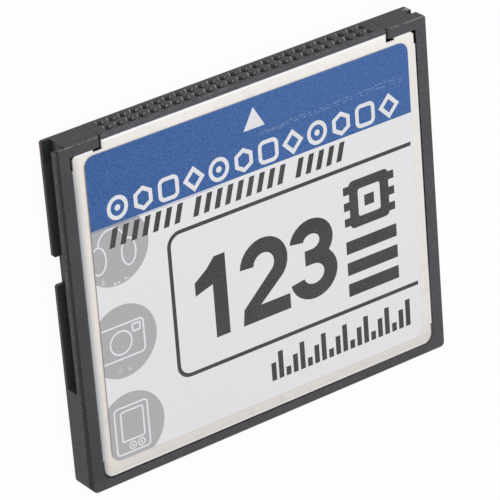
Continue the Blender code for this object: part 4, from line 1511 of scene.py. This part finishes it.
def seen(nodes):
    """1 for a ray from the camera or from a gloss, 0 for one that only carries light."""
    straight = nodes.node("ShaderNodeLightPath", output="Is Camera Ray")
    return nodes.clamp(straight + straight.beside("Is Glossy Ray"))


def direction(azimuth, elevation):
    """Unit vector from the card towards a place on the dome round it, with azimuth 0 at -Y."""
    return Vector((math.sin(azimuth) * math.cos(elevation),
                   -math.cos(azimuth) * math.cos(elevation), math.sin(elevation)))


class CARD_OT_stage(Operator):
    """Set the floor, the lamp, the world and the camera"""

    bl_idname = "card.stage"
    bl_label = "Studio Stage"

    WHITE = (1.0, 1.0, 1.0)
    SENSOR_WIDTH = 36.0
    CLIP_START = 0.01

    def execute(self, context):
        stage = context.scene.card_stage
        self.make_floor(context, stage)
        self.make_lamp(context, stage)
        self.make_world(context, stage)
        self.make_camera(context, stage)
        context.scene.view_settings.view_transform = "Standard"
        return {"FINISHED"}

    def floor_material(self, stage):
        """Pale floor that keeps the card's shadow and is seen nearly white."""
        material = bpy.data.materials.new("studio_floor")
        material.use_nodes = True
        nodes = Nodes(material.node_tree)
        nodes.tree.nodes.clear()
        diffuse = nodes.node("ShaderNodeBsdfDiffuse", None, {"Color": stage.floor_colour})
        glow = nodes.node("ShaderNodeEmission", None, {"Color": self.WHITE, "Strength": 1.0})
        shaders = {0: seen(nodes) * stage.floor_glow, 1: diffuse, 2: glow}
        mixed = nodes.node("ShaderNodeMixShader", None, shaders)
        nodes.node("ShaderNodeOutputMaterial", None, {"Surface": mixed})
        return material

    def make_floor(self, context, stage):
        """Square floor under the card."""
        half = stage.floor_side / 2
        mesh = bpy.data.meshes.new("floor")
        corners = [(-half, -half, 0.0), (half, -half, 0.0), (half, half, 0.0), (-half, half, 0.0)]
        mesh.from_pydata(corners, [], [(0, 1, 2, 3)])
        mesh.materials.append(self.floor_material(stage))
        floor = bpy.data.objects.new("floor", mesh)
        context.scene.collection.objects.link(floor)

    def make_lamp(self, context, stage):
        """Large soft lamp that faces the card."""
        light = bpy.data.lights.new("key_lamp", "AREA")
        light.shape = "SQUARE"
        light.size = stage.key_side
        light.energy = stage.key_strength * math.pi * stage.key_side ** 2
        lamp = bpy.data.objects.new("key_lamp", light)
        towards = direction(stage.key_azimuth, stage.key_elevation)
        lamp.location = Vector(stage.target) + towards * stage.key_distance
        lamp.rotation_euler = towards.to_track_quat("Z", "Y").to_euler()
        context.scene.collection.objects.link(lamp)

    def make_world(self, context, stage):
        """Even white light from all round, seen as plain white."""
        world = bpy.data.worlds.new("studio_world")
        world.use_nodes = True
        nodes = Nodes(world.node_tree)
        background = world.node_tree.nodes["Background"]
        nodes.feed(background.inputs["Color"], self.WHITE)
        brighter = seen(nodes) * (1.0 - stage.world_strength)
        nodes.feed(background.inputs["Strength"], brighter + stage.world_strength)
        context.scene.world = world

    def make_camera(self, context, stage):
        """Camera at the photograph's angle."""
        data = bpy.data.cameras.new("camera")
        data.lens = stage.lens
        data.sensor_width = self.SENSOR_WIDTH
        data.clip_start = self.CLIP_START
        camera = bpy.data.objects.new("camera", data)
        back = direction(stage.azimuth, stage.elevation)
        upright = (-back).to_track_quat("-Z", "Y").to_matrix()
        turned = (upright @ Matrix.Rotation(stage.roll, 3, "Z")).to_4x4()
        place = Vector(stage.target) + back * stage.distance
        camera.matrix_world = Matrix.Translation(place) @ turned
        context.scene.collection.objects.link(camera)
        context.scene.camera = camera


OPERATORS = (
    CARD_OT_stage,
    CARD_OT_frame,
    CARD_OT_header,
    CARD_OT_front_panel,
    CARD_OT_back_panel,
    CARD_OT_sticker,
    CARD_OT_contacts,
    CARD_OT_board,
    CARD_OT_chips,
    CARD_OT_components,
    CARD_OT_arrow,
    CARD_OT_title,
    CARD_OT_bold_row,
    CARD_OT_outline,
    CARD_OT_numerals,
    CARD_OT_chip_figure,
    CARD_OT_bars,
    CARD_OT_level_row,
    CARD_OT_icons,
)


class CARD_PT_card(Panel):
    """Steps and settings of the card"""

    bl_idname = "CARD_PT_card"
    bl_label = "Memory Card"
    bl_space_type = "VIEW_3D"
    bl_region_type = "UI"
    bl_category = "Card"

    def draw(self, context):
        for operator in OPERATORS:
            self.layout.operator(operator.bl_idname)
        for name, group in SETTINGS.items():
            column = self.layout.column()
            column.label(text=group.__doc__)
            for setting in group.__annotations__:
                column.prop(getattr(context.scene, name), setting)


CLASSES = (*SETTINGS.values(), *OPERATORS, CARD_PT_card)


def register():
    for item in CLASSES:
        bpy.utils.register_class(item)
    for name, group in SETTINGS.items():
        setattr(bpy.types.Scene, name, PointerProperty(type=group))


def unregister():
    for name in SETTINGS:
        delattr(bpy.types.Scene, name)
    for item in reversed(CLASSES):
        bpy.utils.unregister_class(item)


def main():
    """Dress the whole card."""
    register()
    for operator in OPERATORS:
        getattr(bpy.ops.card, operator.bl_idname.split(".")[1])()


if __name__ == "__main__":
    main()
